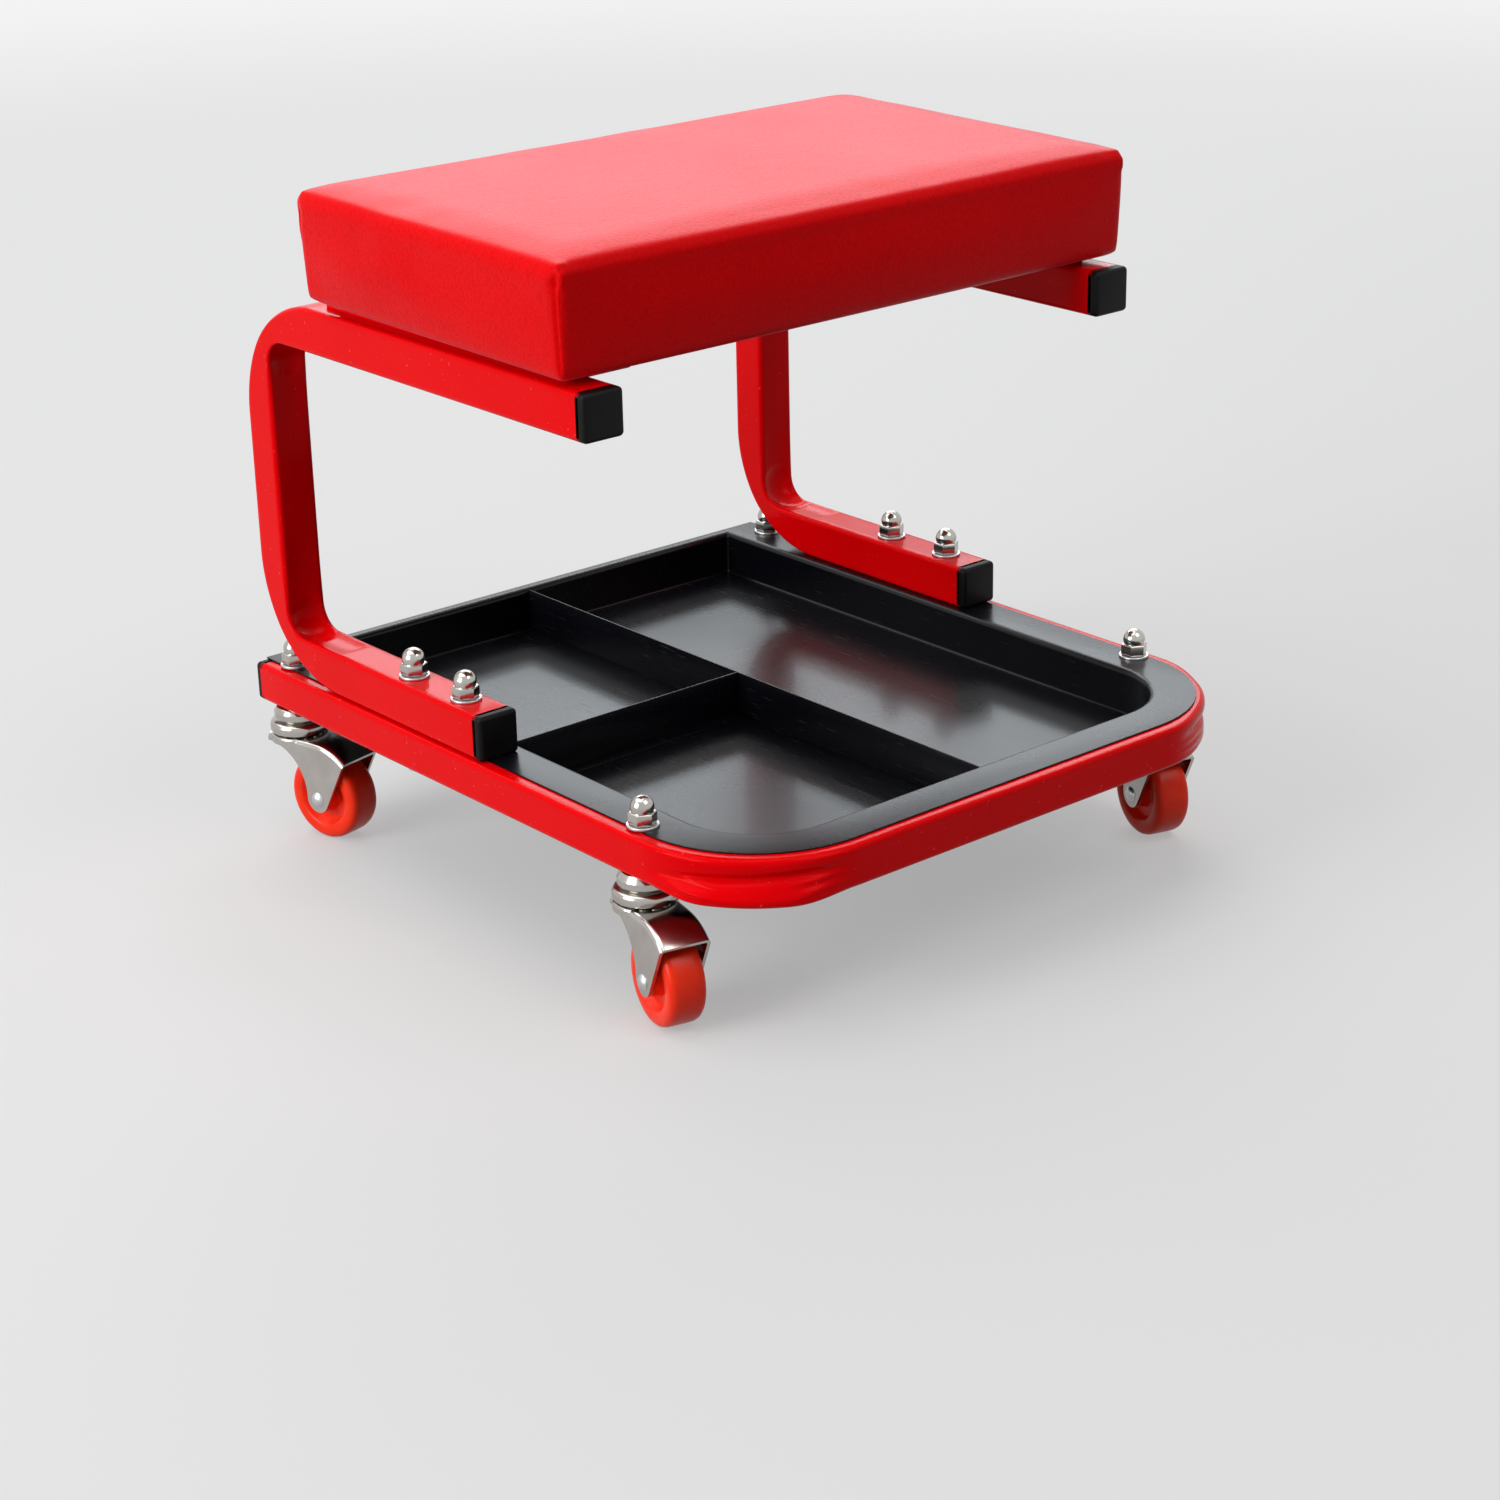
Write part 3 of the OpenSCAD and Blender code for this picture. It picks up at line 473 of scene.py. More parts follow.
def turned(profile, soften=0.0, steps=64, closed=True):
    """Spins a profile of (radius, height) round Z. soften rounds the profile's corners."""
    shape = bmesh.new()
    points = [shape.verts.new((radius, 0.0, height)) for radius, height in profile]
    pairs = list(zip(points, points[1:]))
    if closed:
        pairs.append((points[-1], points[0]))
    for first, second in pairs:
        shape.edges.new((first, second))
    if soften:
        corners = [point for point in points
                   if point.co.x > soften * 1.5 and len(point.link_edges) == 2]
        bmesh.ops.bevel(shape, geom=corners, offset=soften, segments=3, profile=0.5,
                        affect="VERTICES", clamp_overlap=True, material=-1)
    bmesh.ops.spin(shape, geom=shape.verts[:] + shape.edges[:], cent=(0, 0, 0), axis=(0, 0, 1),
                   dvec=(0, 0, 0), angle=math.tau, steps=steps, use_merge=True, use_duplicate=False)
    bmesh.ops.remove_doubles(shape, verts=shape.verts, dist=0.005)
    bmesh.ops.recalc_face_normals(shape, faces=shape.faces)
    return shape


def add_shape(shape, other):
    """Adds another bmesh to a shape."""
    mesh = bpy.data.meshes.new("joined")
    other.to_mesh(mesh)
    other.free()
    shape.from_mesh(mesh)
    bpy.data.meshes.remove(mesh)


def copies(make, places):
    """One shape made of the same form at several places."""
    shape = bmesh.new()
    for place in places:
        form = make()
        bmesh.ops.translate(form, vec=place, verts=form.verts)
        add_shape(shape, form)
    return shape


def smoothed_copy(name, node, material, body, sharp=28.0):
    """A solid's own form with its loose triangles joined, so that round faces shade smoothly."""
    shape = bmesh.new()
    shape.from_mesh(nodes[node].data)
    bmesh.ops.remove_doubles(shape, verts=shape.verts, dist=0.000002)
    bmesh.ops.dissolve_limit(shape, angle_limit=math.radians(0.4), verts=shape.verts,
                             edges=shape.edges)
    bmesh.ops.scale(shape, vec=(1 / MM, 1 / MM, 1 / MM), verts=shape.verts)
    piece = finish_piece(name, shape, material, body, (node,), sharp)
    even_normals(piece)
    return piece


# Tubes

def tube_section(width, height, cuts):
    """A ring of edges in the XZ plane with round corners and sides cut for shaping."""
    shape = bmesh.new()
    bmesh.ops.create_grid(shape, x_segments=1, y_segments=1, size=0.5)
    bmesh.ops.delete(shape, geom=shape.faces[:], context="FACES_ONLY")
    bmesh.ops.scale(shape, vec=(width, height, 1.0), verts=shape.verts)
    bmesh.ops.bevel(shape, geom=shape.verts[:], offset=TUBE_EDGE_R, segments=4, profile=0.5,
                    affect="VERTICES", material=-1)
    sides = [edge for edge in shape.edges if edge.calc_length() > 2 * TUBE_EDGE_R]
    bmesh.ops.subdivide_edges(shape, edges=sides, cuts=cuts)
    bmesh.ops.rotate(shape, cent=(0, 0, 0), matrix=Matrix.Rotation(math.pi / 2, 3, "X"),
                     verts=shape.verts)
    return shape


def run_tube(shape, end, along, steps):
    """Draws a tube's open end along a straight line and returns the new end."""
    for _ in range(steps):
        grown = bmesh.ops.extrude_edge_only(shape, edges=end)["geom"]
        ring = set(verts_of(grown))
        bmesh.ops.translate(shape, vec=Vector(along) / steps, verts=list(ring))
        end = [edge for edge in edges_of(grown) if ring.issuperset(edge.verts)]
    return end


def turn_tube(shape, end, centre, axis, degrees, steps):
    """Bends a tube's open end round a centre and returns the new end."""
    ring = list({vert for edge in end for vert in edge.verts})
    spun = bmesh.ops.spin(shape, geom=ring + end, cent=centre, axis=axis, dvec=(0, 0, 0),
                          angle=math.radians(degrees), steps=steps, use_merge=False,
                          use_duplicate=False)
    return edges_of(spun["geom_last"])


def soft_step(value, low, high):
    """0 below low, 1 above high, and a smooth rise from one to the other."""
    share = min(max((value - low) / (high - low), 0.0), 1.0)
    return share * share * (3.0 - 2.0 * share)


def hill(value, top, width):
    """1 at the top, falling off smoothly to both sides."""
    return math.exp(-((value - top) / width) ** 2)


def crease_base_bends(shape):
    """Presses a valley into the outer wall of both bends, between an upper and a lower lip.

    turn runs from 0 to 90 degrees along a bend, and level from -1 at its foot to 1 at its top.
    """
    middle = BASE_BOTTOM + BASE_TUBE[1] / 2
    for vert in shape.verts:
        side = math.copysign(1.0, vert.co.x)
        whole, crease, upper, lower, sunk = LEFT_BEND if side < 0 else RIGHT_BEND
        out_x = abs(vert.co.x) - BASE_BEND_AT[0]
        out_y = BASE_BEND_AT[1] - vert.co.y
        reach = math.hypot(out_x, out_y)
        if out_x <= 0 or out_y <= 0 or reach < BASE_BEND_R - 20.0:
            continue
        turn = math.degrees(math.atan2(out_y, out_x))
        depth = soft_step(turn, 3.0, 30.0) * soft_step(90.0 - turn, 3.0, 30.0)
        outer = soft_step(reach, BASE_BEND_R - 14.0, BASE_BEND_R - 0.5)
        level = (vert.co.z - middle) / (BASE_TUBE[1] / 2)
        valley = crease * hill(level, CREASE_LEVEL + CREASE_CLIMB * (turn - 45.0), CREASE_HALF)
        lips = upper * hill(level, 0.6, 0.3) + lower * hill(level, -0.75, 0.5)
        ends = hill(turn, 24.0, 10.0) + 0.6 * hill(turn, 70.0, 8.0)
        below = 1.0 - soft_step(abs(level + 0.4), 0.25, 0.6)
        fan = (45.0 - abs(turn - 45.0)) * 8.0
        wrinkles = WRINKLE * ends * below * math.sin(math.radians(level * 900.0 + fan))
        move = outer * (depth * (whole + valley + lips) + wrinkles)
        vert.co.x += side * move * out_x / reach
        vert.co.y -= move * out_y / reach
        foot = soft_step(-level, 0.1, 1.0) * soft_step(reach, BASE_BEND_R - 20.0, BASE_BEND_R - 4.0)
        vert.co.z -= sunk * depth * foot


def base_frame():
    """The U of the base: two legs, two creased bends and the front."""
    shape = tube_section(BASE_TUBE[0], BASE_TUBE[1], 27)
    start = (BASE_SIDE - BASE_TUBE[0] / 2, BASE_REAR, BASE_BOTTOM + BASE_TUBE[1] / 2)
    bmesh.ops.translate(shape, vec=start, verts=shape.verts)
    bend_x, bend_y = BASE_BEND_AT
    end = run_tube(shape, shape.edges[:], (0, bend_y - BASE_REAR, 0), 12)
    end = turn_tube(shape, end, (bend_x, bend_y, 0), (0, 0, 1), -90.0, BEND_STEPS)
    end = run_tube(shape, end, (-2 * bend_x, 0, 0), 8)
    end = turn_tube(shape, end, (-bend_x, bend_y, 0), (0, 0, 1), -90.0, BEND_STEPS)
    run_tube(shape, end, (0, BASE_REAR - bend_y, 0), 12)
    crease_base_bends(shape)
    bmesh.ops.recalc_face_normals(shape, faces=shape.faces)
    piece = finish_piece("base_tube", shape, RED_PAINT, ROOT, ("base_frame",), 60.0)
    thicken(piece, TUBE_WALL)
    even_normals(piece)


def inner_reach(turn):
    """Distance from a bend's centre to the pinched inner wall, at an angle from the first leg."""
    inner = FRAME_BEND_R - FRAME_TUBE
    apart = (inner - FRAME_CORNER_R) * math.sqrt(2.0)
    off = min(turn, 90.0 - turn)
    if off < math.degrees(math.atan2(inner - FRAME_CORNER_R, inner)):
        return inner / math.cos(math.radians(off))
    aside = math.radians(45.0 - off)
    return apart * math.cos(aside) + math.sqrt(FRAME_CORNER_R ** 2 - (apart * math.sin(aside)) ** 2)


def valley_sink(along, into, bow):
    """How deep the inner wall of a straight leg lies near its bend, with ends that run out."""
    if not -VALLEY_REACH < along < 0.0 or into <= FRAME_CORNER_R - 1.0:
        return 0.0
    ends = min(1.0, (VALLEY_REACH + along) / 5.0) * (1.0 - soft_step(along, -9.0, 0.0))
    return bow * ends * hill(into, FRAME_CORNER_R, 4.0)


def pinch_frame_bend(shape, centre_z, upward, x):
    """Thins one bend of a seat frame towards its middle and sinks a valley into its inner wall."""
    centre_y = FRAME_REAR - FRAME_BEND_R
    corner = FRAME_BEND_R - FRAME_TUBE - FRAME_CORNER_R
    half = math.sqrt(DENT_R ** 2 - (DENT_R - DENT_DEPTH) ** 2)
    for vert in shape.verts:
        out_y = vert.co.y - centre_y
        out_z = (centre_z - vert.co.z) * upward
        if out_y > 0 and out_z > 0:
            reach = math.hypot(out_y, out_z)
            turn = math.degrees(math.atan2(out_y, out_z))
            wall = FRAME_BEND_R - inner_reach(turn)
            moved = FRAME_BEND_R - (FRAME_BEND_R - reach) * wall / FRAME_TUBE
            vert.co.y = centre_y + out_y * moved / reach
            vert.co.z = centre_z - upward * out_z * moved / reach
        across = abs(vert.co.x - x)
        if across >= half:
            continue
        off_y = vert.co.y - centre_y - corner
        off_z = (centre_z - vert.co.z) * upward - corner
        reach = math.hypot(off_y, off_z)
        floor = FRAME_CORNER_R + DENT_DEPTH - DENT_R + math.sqrt(DENT_R ** 2 - across ** 2)
        if reach < floor:
            off_y, off_z = off_y * floor / reach, off_z * floor / reach
        bow = VALLEY_DEPTH * (1.0 - (across / half) ** 2)
        sink_y = valley_sink(off_z, off_y, bow)
        sink_z = valley_sink(off_y, off_z, bow)
        vert.co.y = centre_y + corner + off_y + sink_y
        vert.co.z = centre_z - upward * (corner + off_z + sink_z)


def seat_frame(side, name):
    """One C-shaped frame: lower arm, bend, upright, bend and upper arm."""
    x = side * FRAME_X
    bend_y = FRAME_REAR - FRAME_BEND_R
    low_z = FRAME_BOTTOM + FRAME_BEND_R
    high_z = FRAME_BOTTOM + FRAME_HEIGHT - FRAME_BEND_R
    shape = tube_section(FRAME_TUBE, FRAME_TUBE, 13)
    start = (x, FRAME_ARM_LOW, FRAME_BOTTOM + FRAME_TUBE / 2)
    bmesh.ops.translate(shape, vec=start, verts=shape.verts)
    lead = bend_y - (FRAME_REAR - FRAME_TUBE - FRAME_CORNER_R - VALLEY_REACH)
    end = run_tube(shape, shape.edges[:], (0, bend_y - lead - FRAME_ARM_LOW, 0), 6)
    end = run_tube(shape, end, (0, lead, 0), 4)
    end = turn_tube(shape, end, (0, bend_y, low_z), (1, 0, 0), 90.0, BEND_STEPS)
    end = run_tube(shape, end, (0, 0, high_z - low_z), 6)
    end = turn_tube(shape, end, (0, bend_y, high_z), (1, 0, 0), 90.0, BEND_STEPS)
    end = run_tube(shape, end, (0, -lead, 0), 4)
    run_tube(shape, end, (0, FRAME_ARM_UP - bend_y + lead, 0), 8)
    pinch_frame_bend(shape, low_z, 1.0, x)
    pinch_frame_bend(shape, high_z, -1.0, x)
    bmesh.ops.recalc_face_normals(shape, faces=shape.faces)
    piece = finish_piece(name + "_tube", shape, RED_PAINT, ROOT, (name,), 60.0)
    thicken(piece, TUBE_WALL)
    even_normals(piece)


def end_plugs(name, places, facing, width, height):
    """Heads of the plugs that close the tube ends, rounded in front."""
    def head_form():
        form = block(width, PLUG_HEAD + PLUG_ROUND, height, (0, 0, 0))
        along = [edge for edge in form.edges
                 if abs(edge.verts[0].co.y - edge.verts[1].co.y) > PLUG_HEAD / 2]
        bmesh.ops.bevel(form, geom=along, offset=TUBE_EDGE_R, segments=5, profile=0.5,
                        affect="EDGES", material=-1)
        outer = [edge for edge in form.edges if all(facing * vert.co.y > 0 for vert in edge.verts)]
        bmesh.ops.bevel(form, geom=outer, offset=PLUG_ROUND, segments=4, profile=0.5,
                        affect="EDGES", material=-1)
        ahead = facing * (PLUG_HEAD - PLUG_ROUND) / 2
        bmesh.ops.translate(form, vec=(0, ahead, 0), verts=form.verts)
        return form

    shape = copies(head_form, places)
    finish_piece(name + "_heads", shape, BLACK_PLASTIC, ROOT, (name,))


# Tray and dividers

def tray_outline(shape, side, front, rear, front_r, height, steps=14):
    """A ring of edges at one height, square at the rear and round at the front corners."""
    made = bmesh.ops.create_grid(shape, x_segments=1, y_segments=1, size=0.5)["verts"]
    faces = list({face for vert in made for face in vert.link_faces})
    bmesh.ops.delete(shape, geom=faces, context="FACES_ONLY")
    bmesh.ops.scale(shape, vec=(2 * side, rear - front, 1.0), verts=made)
    bmesh.ops.translate(shape, vec=(0, (front + rear) / 2, height), verts=made)
    front_corners = [vert for vert in made if vert.co.y < 0]
    before = set(shape.edges)
    start = {edge for vert in made for edge in vert.link_edges}
    bmesh.ops.bevel(shape, geom=front_corners, offset=front_r, segments=steps, profile=0.5,
                    affect="VERTICES", material=-1)
    kept = [edge for edge in start if edge.is_valid]
    return list(set(kept) | (set(shape.edges) - before))


def tool_tray():
    """The pressed tray, from its flange down the walls to the floor."""
    shape = bmesh.new()
    outer = tray_outline(shape, FLANGE_SIDE, FLANGE_FRONT, FLANGE_REAR, FLANGE_R, FLANGE_BOTTOM)
    rim = tray_outline(shape, WALL_SIDE, WALL_FRONT, WALL_REAR, WALL_R, FLANGE_BOTTOM)
    bmesh.ops.bridge_loops(shape, edges=outer + rim)
    grown = bmesh.ops.extrude_edge_only(shape, edges=rim)["geom"]
    foot = set(verts_of(grown))
    bmesh.ops.translate(shape, vec=(0, 0, TRAY_BOTTOM - FLANGE_BOTTOM), verts=list(foot))
    floor_edges = [edge for edge in edges_of(grown) if foot.issuperset(edge.verts)]
    bmesh.ops.edgeloop_fill(shape, edges=floor_edges)
    bmesh.ops.recalc_face_normals(shape, faces=shape.faces)
    floor = max(shape.faces, key=lambda face: face.calc_area())
    if floor.normal.z > 0:
        bmesh.ops.reverse_faces(shape, faces=shape.faces)
    folds = [edge for edge in shape.edges if edge.calc_face_angle(0.0) > math.radians(50)]
    bmesh.ops.bevel(shape, geom=folds, offset=FOLD_R, segments=5, profile=0.5, affect="EDGES",
                    clamp_overlap=True, material=-1)
    piece = finish_piece("tray_pressing", shape, TRAY_PAINT, ROOT, ("tool_tray",), 40.0)
    thicken(piece, SHEET)
    even_normals(piece)


def dividers():
    """Both dividers, each an upright sheet on a folded foot."""
    top = FLANGE_BOTTOM
    floor = TRAY_BOTTOM + SHEET
    height = top - floor
    length = WALL_REAR - WALL_FRONT - 2 * SHEET
    mid_y = (WALL_REAR + WALL_FRONT) / 2
    mid_z = (top + floor) / 2
    thin = DIVIDER_SHEET
    foot_z = floor + thin / 2
    aside = (DIVIDER_FOOT - thin) / 2 + 0.15
    along = block(thin, length, height, (0, mid_y, mid_z), 0.0, 0.3, 2)
    foot = block(DIVIDER_FOOT, length - 4.0, thin, (aside, mid_y, foot_z), 0.0, 0.3, 2)
    add_shape(along, foot)
    finish_piece("divider_along", along, TRAY_PAINT, ROOT, ("long_divider",))
    width = WALL_SIDE - SHEET - 0.5
    mid_x = -width / 2 - 0.5
    across = block(width, thin, height, (mid_x, DIVIDER_Y, mid_z), 0.0, 0.3, 2)
    foot = block(width - 4.0, DIVIDER_FOOT, thin, (mid_x, DIVIDER_Y - aside, foot_z), 0.0, 0.3, 2)
    add_shape(across, foot)
    finish_piece("divider_across", across, TRAY_PAINT, ROOT, ("cross_divider",))


# Seat

def seat_plates():
    """The flat plates on the upper arms that carry the seat."""
    for side, name in ((-1, "seat_plate_left"), (1, "seat_plate_right")):
        at = (side * PLATE_X, PLATE_Y, ARM_TOP + PLATE[2] / 2)
        shape = block(PLATE[0], PLATE[1], PLATE[2], at, 3.0, 0.5)
        piece = finish_piece(name + "_blank", shape, RED_PAINT, ROOT, (name,))
        even_normals(piece)


def weld_beads():
    """Short fillet welds between each plate and the inner side of its arm."""
    ripples = 9
    pitch = 2.2
    bead_r = 2.1
    starts = (-58.0, 24.0, 108.0)
    shape = bmesh.new()
    for side in (-1, 1):
        x = side * (FRAME_X - FRAME_TUBE / 2 - 0.6)
        for start in starts:
            for ripple in range(ripples):
                at = (x, start + ripple * pitch, ARM_TOP - 1.0)
                drop = bmesh.ops.create_icosphere(shape, subdivisions=2, radius=bead_r)["verts"]
                bmesh.ops.scale(shape, vec=(0.8, 0.9, 0.8), verts=drop)
                bmesh.ops.translate(shape, vec=at, verts=drop)
    finish_piece("plate_welds", shape, RED_PAINT, ROOT, (), 70.0)


def settle_cushion(piece):
    """Lets air pressure swell the cushion outward by a few millimetres, with its underside held."""
    held = piece.vertex_groups.new(name="held")
    low = (SEAT_BOTTOM + 2.0) * MM
    held.add([vert.index for vert in piece.data.vertices if vert.co.z < low], 1.0, "REPLACE")
    cloth = piece.modifiers.new("stuffing", "CLOTH")
    cloth.settings.quality = 4
    cloth.settings.mass = 0.3
    cloth.settings.tension_stiffness = 40.0
    cloth.settings.compression_stiffness = 40.0
    cloth.settings.bending_stiffness = 20.0
    cloth.settings.use_pressure = True
    cloth.settings.uniform_pressure_force = 4.0
    cloth.settings.vertex_group_mass = "held"
    cloth.settings.effector_weights.gravity = 0.0
    cloth.collision_settings.use_collision = False
    scene = bpy.context.scene
    for step in range(1, 21):
        scene.frame_set(step)
    settled = piece.evaluated_get(bpy.context.evaluated_depsgraph_get()).to_mesh()
    places = [vert.co.copy() for vert in settled.vertices]
    piece.modifiers.remove(cloth)
    verts = piece.data.vertices
    facings = [vert.normal.copy() for vert in verts]
    moves = [min(max((place - vert.co).dot(facing), 0.0), SWELL * MM)
             for vert, place, facing in zip(verts, places, facings)]
    moves = evened(piece.data, moves, 8)
    for vert, facing, move in zip(verts, facings, moves):
        vert.co = vert.co + facing * move * SWELL_SHARE
    scene.frame_set(1)


def evened(mesh, values, rounds):
    """Values at the vertices, each averaged with its neighbours' a number of times."""
    ends = [tuple(edge.vertices) for edge in mesh.edges]
    for _ in range(rounds):
        sums = list(values)
        counts = [1] * len(values)
        for first, second in ends:
            sums[first] += values[second]
            sums[second] += values[first]
            counts[first] += 1
            counts[second] += 1
        values = [total / count for total, count in zip(sums, counts)]
    return values


def apply_modifiers(piece):
    """Puts a piece's modifiers into its mesh."""
    shown = piece.evaluated_get(bpy.context.evaluated_depsgraph_get())
    mesh = bpy.data.meshes.new_from_object(shown)
    piece.modifiers.clear()
    piece.data = mesh


def cushion_blank():
    """The cushion before it is stuffed, drawn in towards its foot."""
    width, length, height = SEAT_SIZE
    shape = block(width, length, height, (0, 0, 0), UPRIGHT_R)
    for level, radius in ((height / 2, TOP_RIM_R), (-height / 2, LOW_RIM_R)):
        rim = [edge for edge in shape.edges
               if all(abs(vert.co.z - level) < 0.01 for vert in edge.verts)]
        bmesh.ops.bevel(shape, geom=rim, offset=radius, segments=5, profile=0.5,
                        affect="EDGES", material=-1)
    bmesh.ops.translate(shape, vec=(0, SEAT_Y, SEAT_BOTTOM + height / 2), verts=shape.verts)
    for vert in shape.verts:
        drawn = SEAT_TAPER * (1.0 - (vert.co.z - SEAT_BOTTOM) / height)
        vert.co.x *= 1.0 - drawn / (width / 2)
        vert.co.y = SEAT_Y + (vert.co.y - SEAT_Y) * (1.0 - drawn / (length / 2))
    return shape


def fold_corners(shape):
    """A pulled fold down each upright corner and a small dimple at its top."""
    width, length, height = SEAT_SIZE
    near = 11.0 * MM
    near_x = width / 2 * MM - near
    near_y = length / 2 * MM - near
    corner_edges = [edge for edge in shape.edges
                    if all(abs(vert.co.x) > near_x and abs(vert.co.y - SEAT_Y * MM) > near_y
                           for vert in edge.verts)]
    bmesh.ops.subdivide_edges(shape, edges=corner_edges, cuts=2, use_grid_fill=True)
    top = (SEAT_BOTTOM + height) * MM
    for vert in shape.verts:
        from_x = abs(vert.co.x) - (width / 2 - 1.5) * MM
        from_y = abs(vert.co.y - SEAT_Y * MM) - (length / 2 - 4.5) * MM
        if from_x < -9.0 * MM or abs(from_y) > 6.0 * MM:
            continue
        below = (top - vert.co.z) / MM
        fade = soft_step(below, 3.0, 11.0) * (1.0 - soft_step(below, 48.0, 60.0))
        groove = FOLD_DEPTH * fade * hill(from_y, 0.0, 1.0 * MM)
        dimple = DIMPLE_DEPTH * hill(below, 9.0, 4.0) * hill(from_y, 0.0, 2.4 * MM)
        vert.co.x -= math.copysign((groove + dimple) * MM, vert.co.x)


def open_underside(shape):
    """Cuts the hem's inner edge into the underside and lifts what lies inside it above the board."""
    width, length, _ = SEAT_SIZE
    inner_x = (width / 2 - HEM) * MM
    inner_y = (length / 2 - HEM) * MM
    low = (SEAT_BOTTOM + 2.5) * MM
    cuts = (((inner_x, 0, 0), (1, 0, 0)), ((-inner_x, 0, 0), (1, 0, 0)),
            ((0, SEAT_Y * MM + inner_y, 0), (0, 1, 0)), ((0, SEAT_Y * MM - inner_y, 0), (0, 1, 0)))
    for place, facing in cuts:
        under = [face for face in shape.faces if all(vert.co.z < low for vert in face.verts)]
        parts = list({part for face in under for part in (*face.verts, *face.edges)})
        bmesh.ops.bisect_plane(shape, geom=under + parts, dist=0.00002, plane_co=place,
                               plane_no=facing)
    for vert in shape.verts:
        in_x = abs(vert.co.x) < inner_x - 0.0001
        in_y = abs(vert.co.y - SEAT_Y * MM) < inner_y - 0.0001
        if in_x and in_y and vert.co.z < low:
            vert.co.z = (SEAT_BOTTOM + HEM_LIFT) * MM


def crown_cushion(piece):
    """Crowns the stuffed cushion, lifts it towards the rear and lays its underside flat."""
    half_x, half_y = SEAT_SIZE[0] / 2 * MM, SEAT_SIZE[1] / 2 * MM
    for vert in piece.data.vertices:
        across = min(abs(vert.co.x) / half_x, 1.0)
        off_y = vert.co.y - SEAT_Y * MM
        along = min(abs(off_y) / half_y, 1.0)
        level = vert.co.z / MM - SEAT_BOTTOM
        rearward = min(max(0.5 + off_y / half_y / 2, 0.0), 1.0)
        crown = CROWN * soft_step(level, 46.0, 58.0) * (1.0 - across ** 3) * (1.0 - along ** 3)
        inward = min(half_x - abs(vert.co.x), half_y - abs(off_y)) / MM
        rim = (1.0 - soft_step(inward, 3.0, 16.0)) * (1.0 - soft_step(level, 0.0, 26.0))
        rise = SEAT_REAR_RISE * soft_step(level, 20.0, 60.0) + RIM_RISE * rim
        vert.co.z = max(vert.co.z + (crown + rearward * rise) * MM, SEAT_BOTTOM * MM)


def seat_cushion():
    """The stuffed seat: blank, even faces, swell, crown, finer faces, hem and corner folds."""
    piece = finish_piece("seat_cushion", cushion_blank(), RED_VINYL, ROOT,
                         ("seat_cover", "seat_foam"), 180.0)
    remesh = piece.modifiers.new("even_faces", "REMESH")
    remesh.mode = "VOXEL"
    remesh.voxel_size = VOXEL * MM
    remesh.use_smooth_shade = True
    apply_modifiers(piece)
    settle_cushion(piece)
    crown_cushion(piece)
    finer = piece.modifiers.new("finer", "SUBSURF")
    finer.levels = 1
    finer.render_levels = 1
    apply_modifiers(piece)
    shape = bmesh.new()
    shape.from_mesh(piece.data)
    for vert in shape.verts:
        vert.co.z = max(vert.co.z, SEAT_BOTTOM * MM)
    open_underside(shape)
    fold_corners(shape)
    shape.to_mesh(piece.data)
    shape.free()
    piece.data.shade_smooth()
    piece.data.set_sharp_from_angle(angle=math.radians(70.0))


def hem_staples():
    """Staples that hold the cover's hem to the board's underside."""
    width, length, _ = SEAT_SIZE
    row_x = width / 2 - HEM + 7.0
    row_y = length / 2 - HEM + 7.0
    pitch = 26.0
    places = []
    count_x = int(2 * row_x / pitch)
    count_y = int(2 * row_y / pitch)
    for step in range(count_x + 1):
        x = -row_x + 2 * row_x * step / count_x
        places.extend(((x, SEAT_Y - row_y, 0.0), (x, SEAT_Y + row_y, 0.0)))
    for step in range(1, count_y):
        y = SEAT_Y - row_y + 2 * row_y * step / count_y
        places.extend(((-row_x, y, 0.0), (row_x, y, 0.0)))
    clear = [place for place in places if abs(place[0]) < PLATE_X - PLATE[0] / 2 - 8.0]
    shape = copies(lambda: block(10.0, 1.2, 0.7, (0, 0, SEAT_BOTTOM - 0.2), 0.0, 0.25, 1), clear)
    finish_piece("hem_staples", shape, ZINC, ROOT)


# Nuts, washers and casters

def cap_nut():
    """A hexagon with a chamfered crown and a polished dome on a short neck, standing on zero."""
    dome_r = NUT_FLATS * 0.48
    dome_z = NUT_H - dome_r
    shape = bmesh.new()
    corner_r = NUT_FLATS / 2 / math.cos(math.pi / 6)
    disc = bmesh.ops.create_circle(shape, cap_ends=True, radius=corner_r, segments=6)
    grown = bmesh.ops.extrude_face_region(shape, geom=shape.faces[:])["geom"]
    bmesh.ops.translate(shape, vec=(0, 0, NUT_HEX_H), verts=verts_of(grown))
    bmesh.ops.recalc_face_normals(shape, faces=shape.faces)
    rims = [edge for edge in shape.edges if abs(edge.verts[0].co.z - edge.verts[1].co.z) < 0.1]
    bmesh.ops.bevel(shape, geom=rims, offset=0.8, segments=3, profile=0.5, affect="EDGES",
                    material=-1)
    arc = [(dome_r * math.cos(math.radians(turn)), dome_z + dome_r * math.sin(math.radians(turn)))
           for turn in range(90, -1, -10)]
    arc[0] = (0.0, NUT_H)
    neck_r = dome_r * 0.94
    neck = [(dome_r * 0.98, dome_z - 1.0), (neck_r, NUT_HEX_H + 0.2), (neck_r, NUT_HEX_H - 1.0)]
    dome = turned(arc + neck + [(0.0, NUT_HEX_H - 1.0)], 0.0, 40, False)
    add_shape(shape, dome)
    return shape


def washer():
    """A flat washer with soft edges, standing on zero."""
    hole = 4.25
    return turned([(hole, 0), (WASHER_R, 0), (WASHER_R, WASHER_T), (hole, WASHER_T)], 0.35, 48)


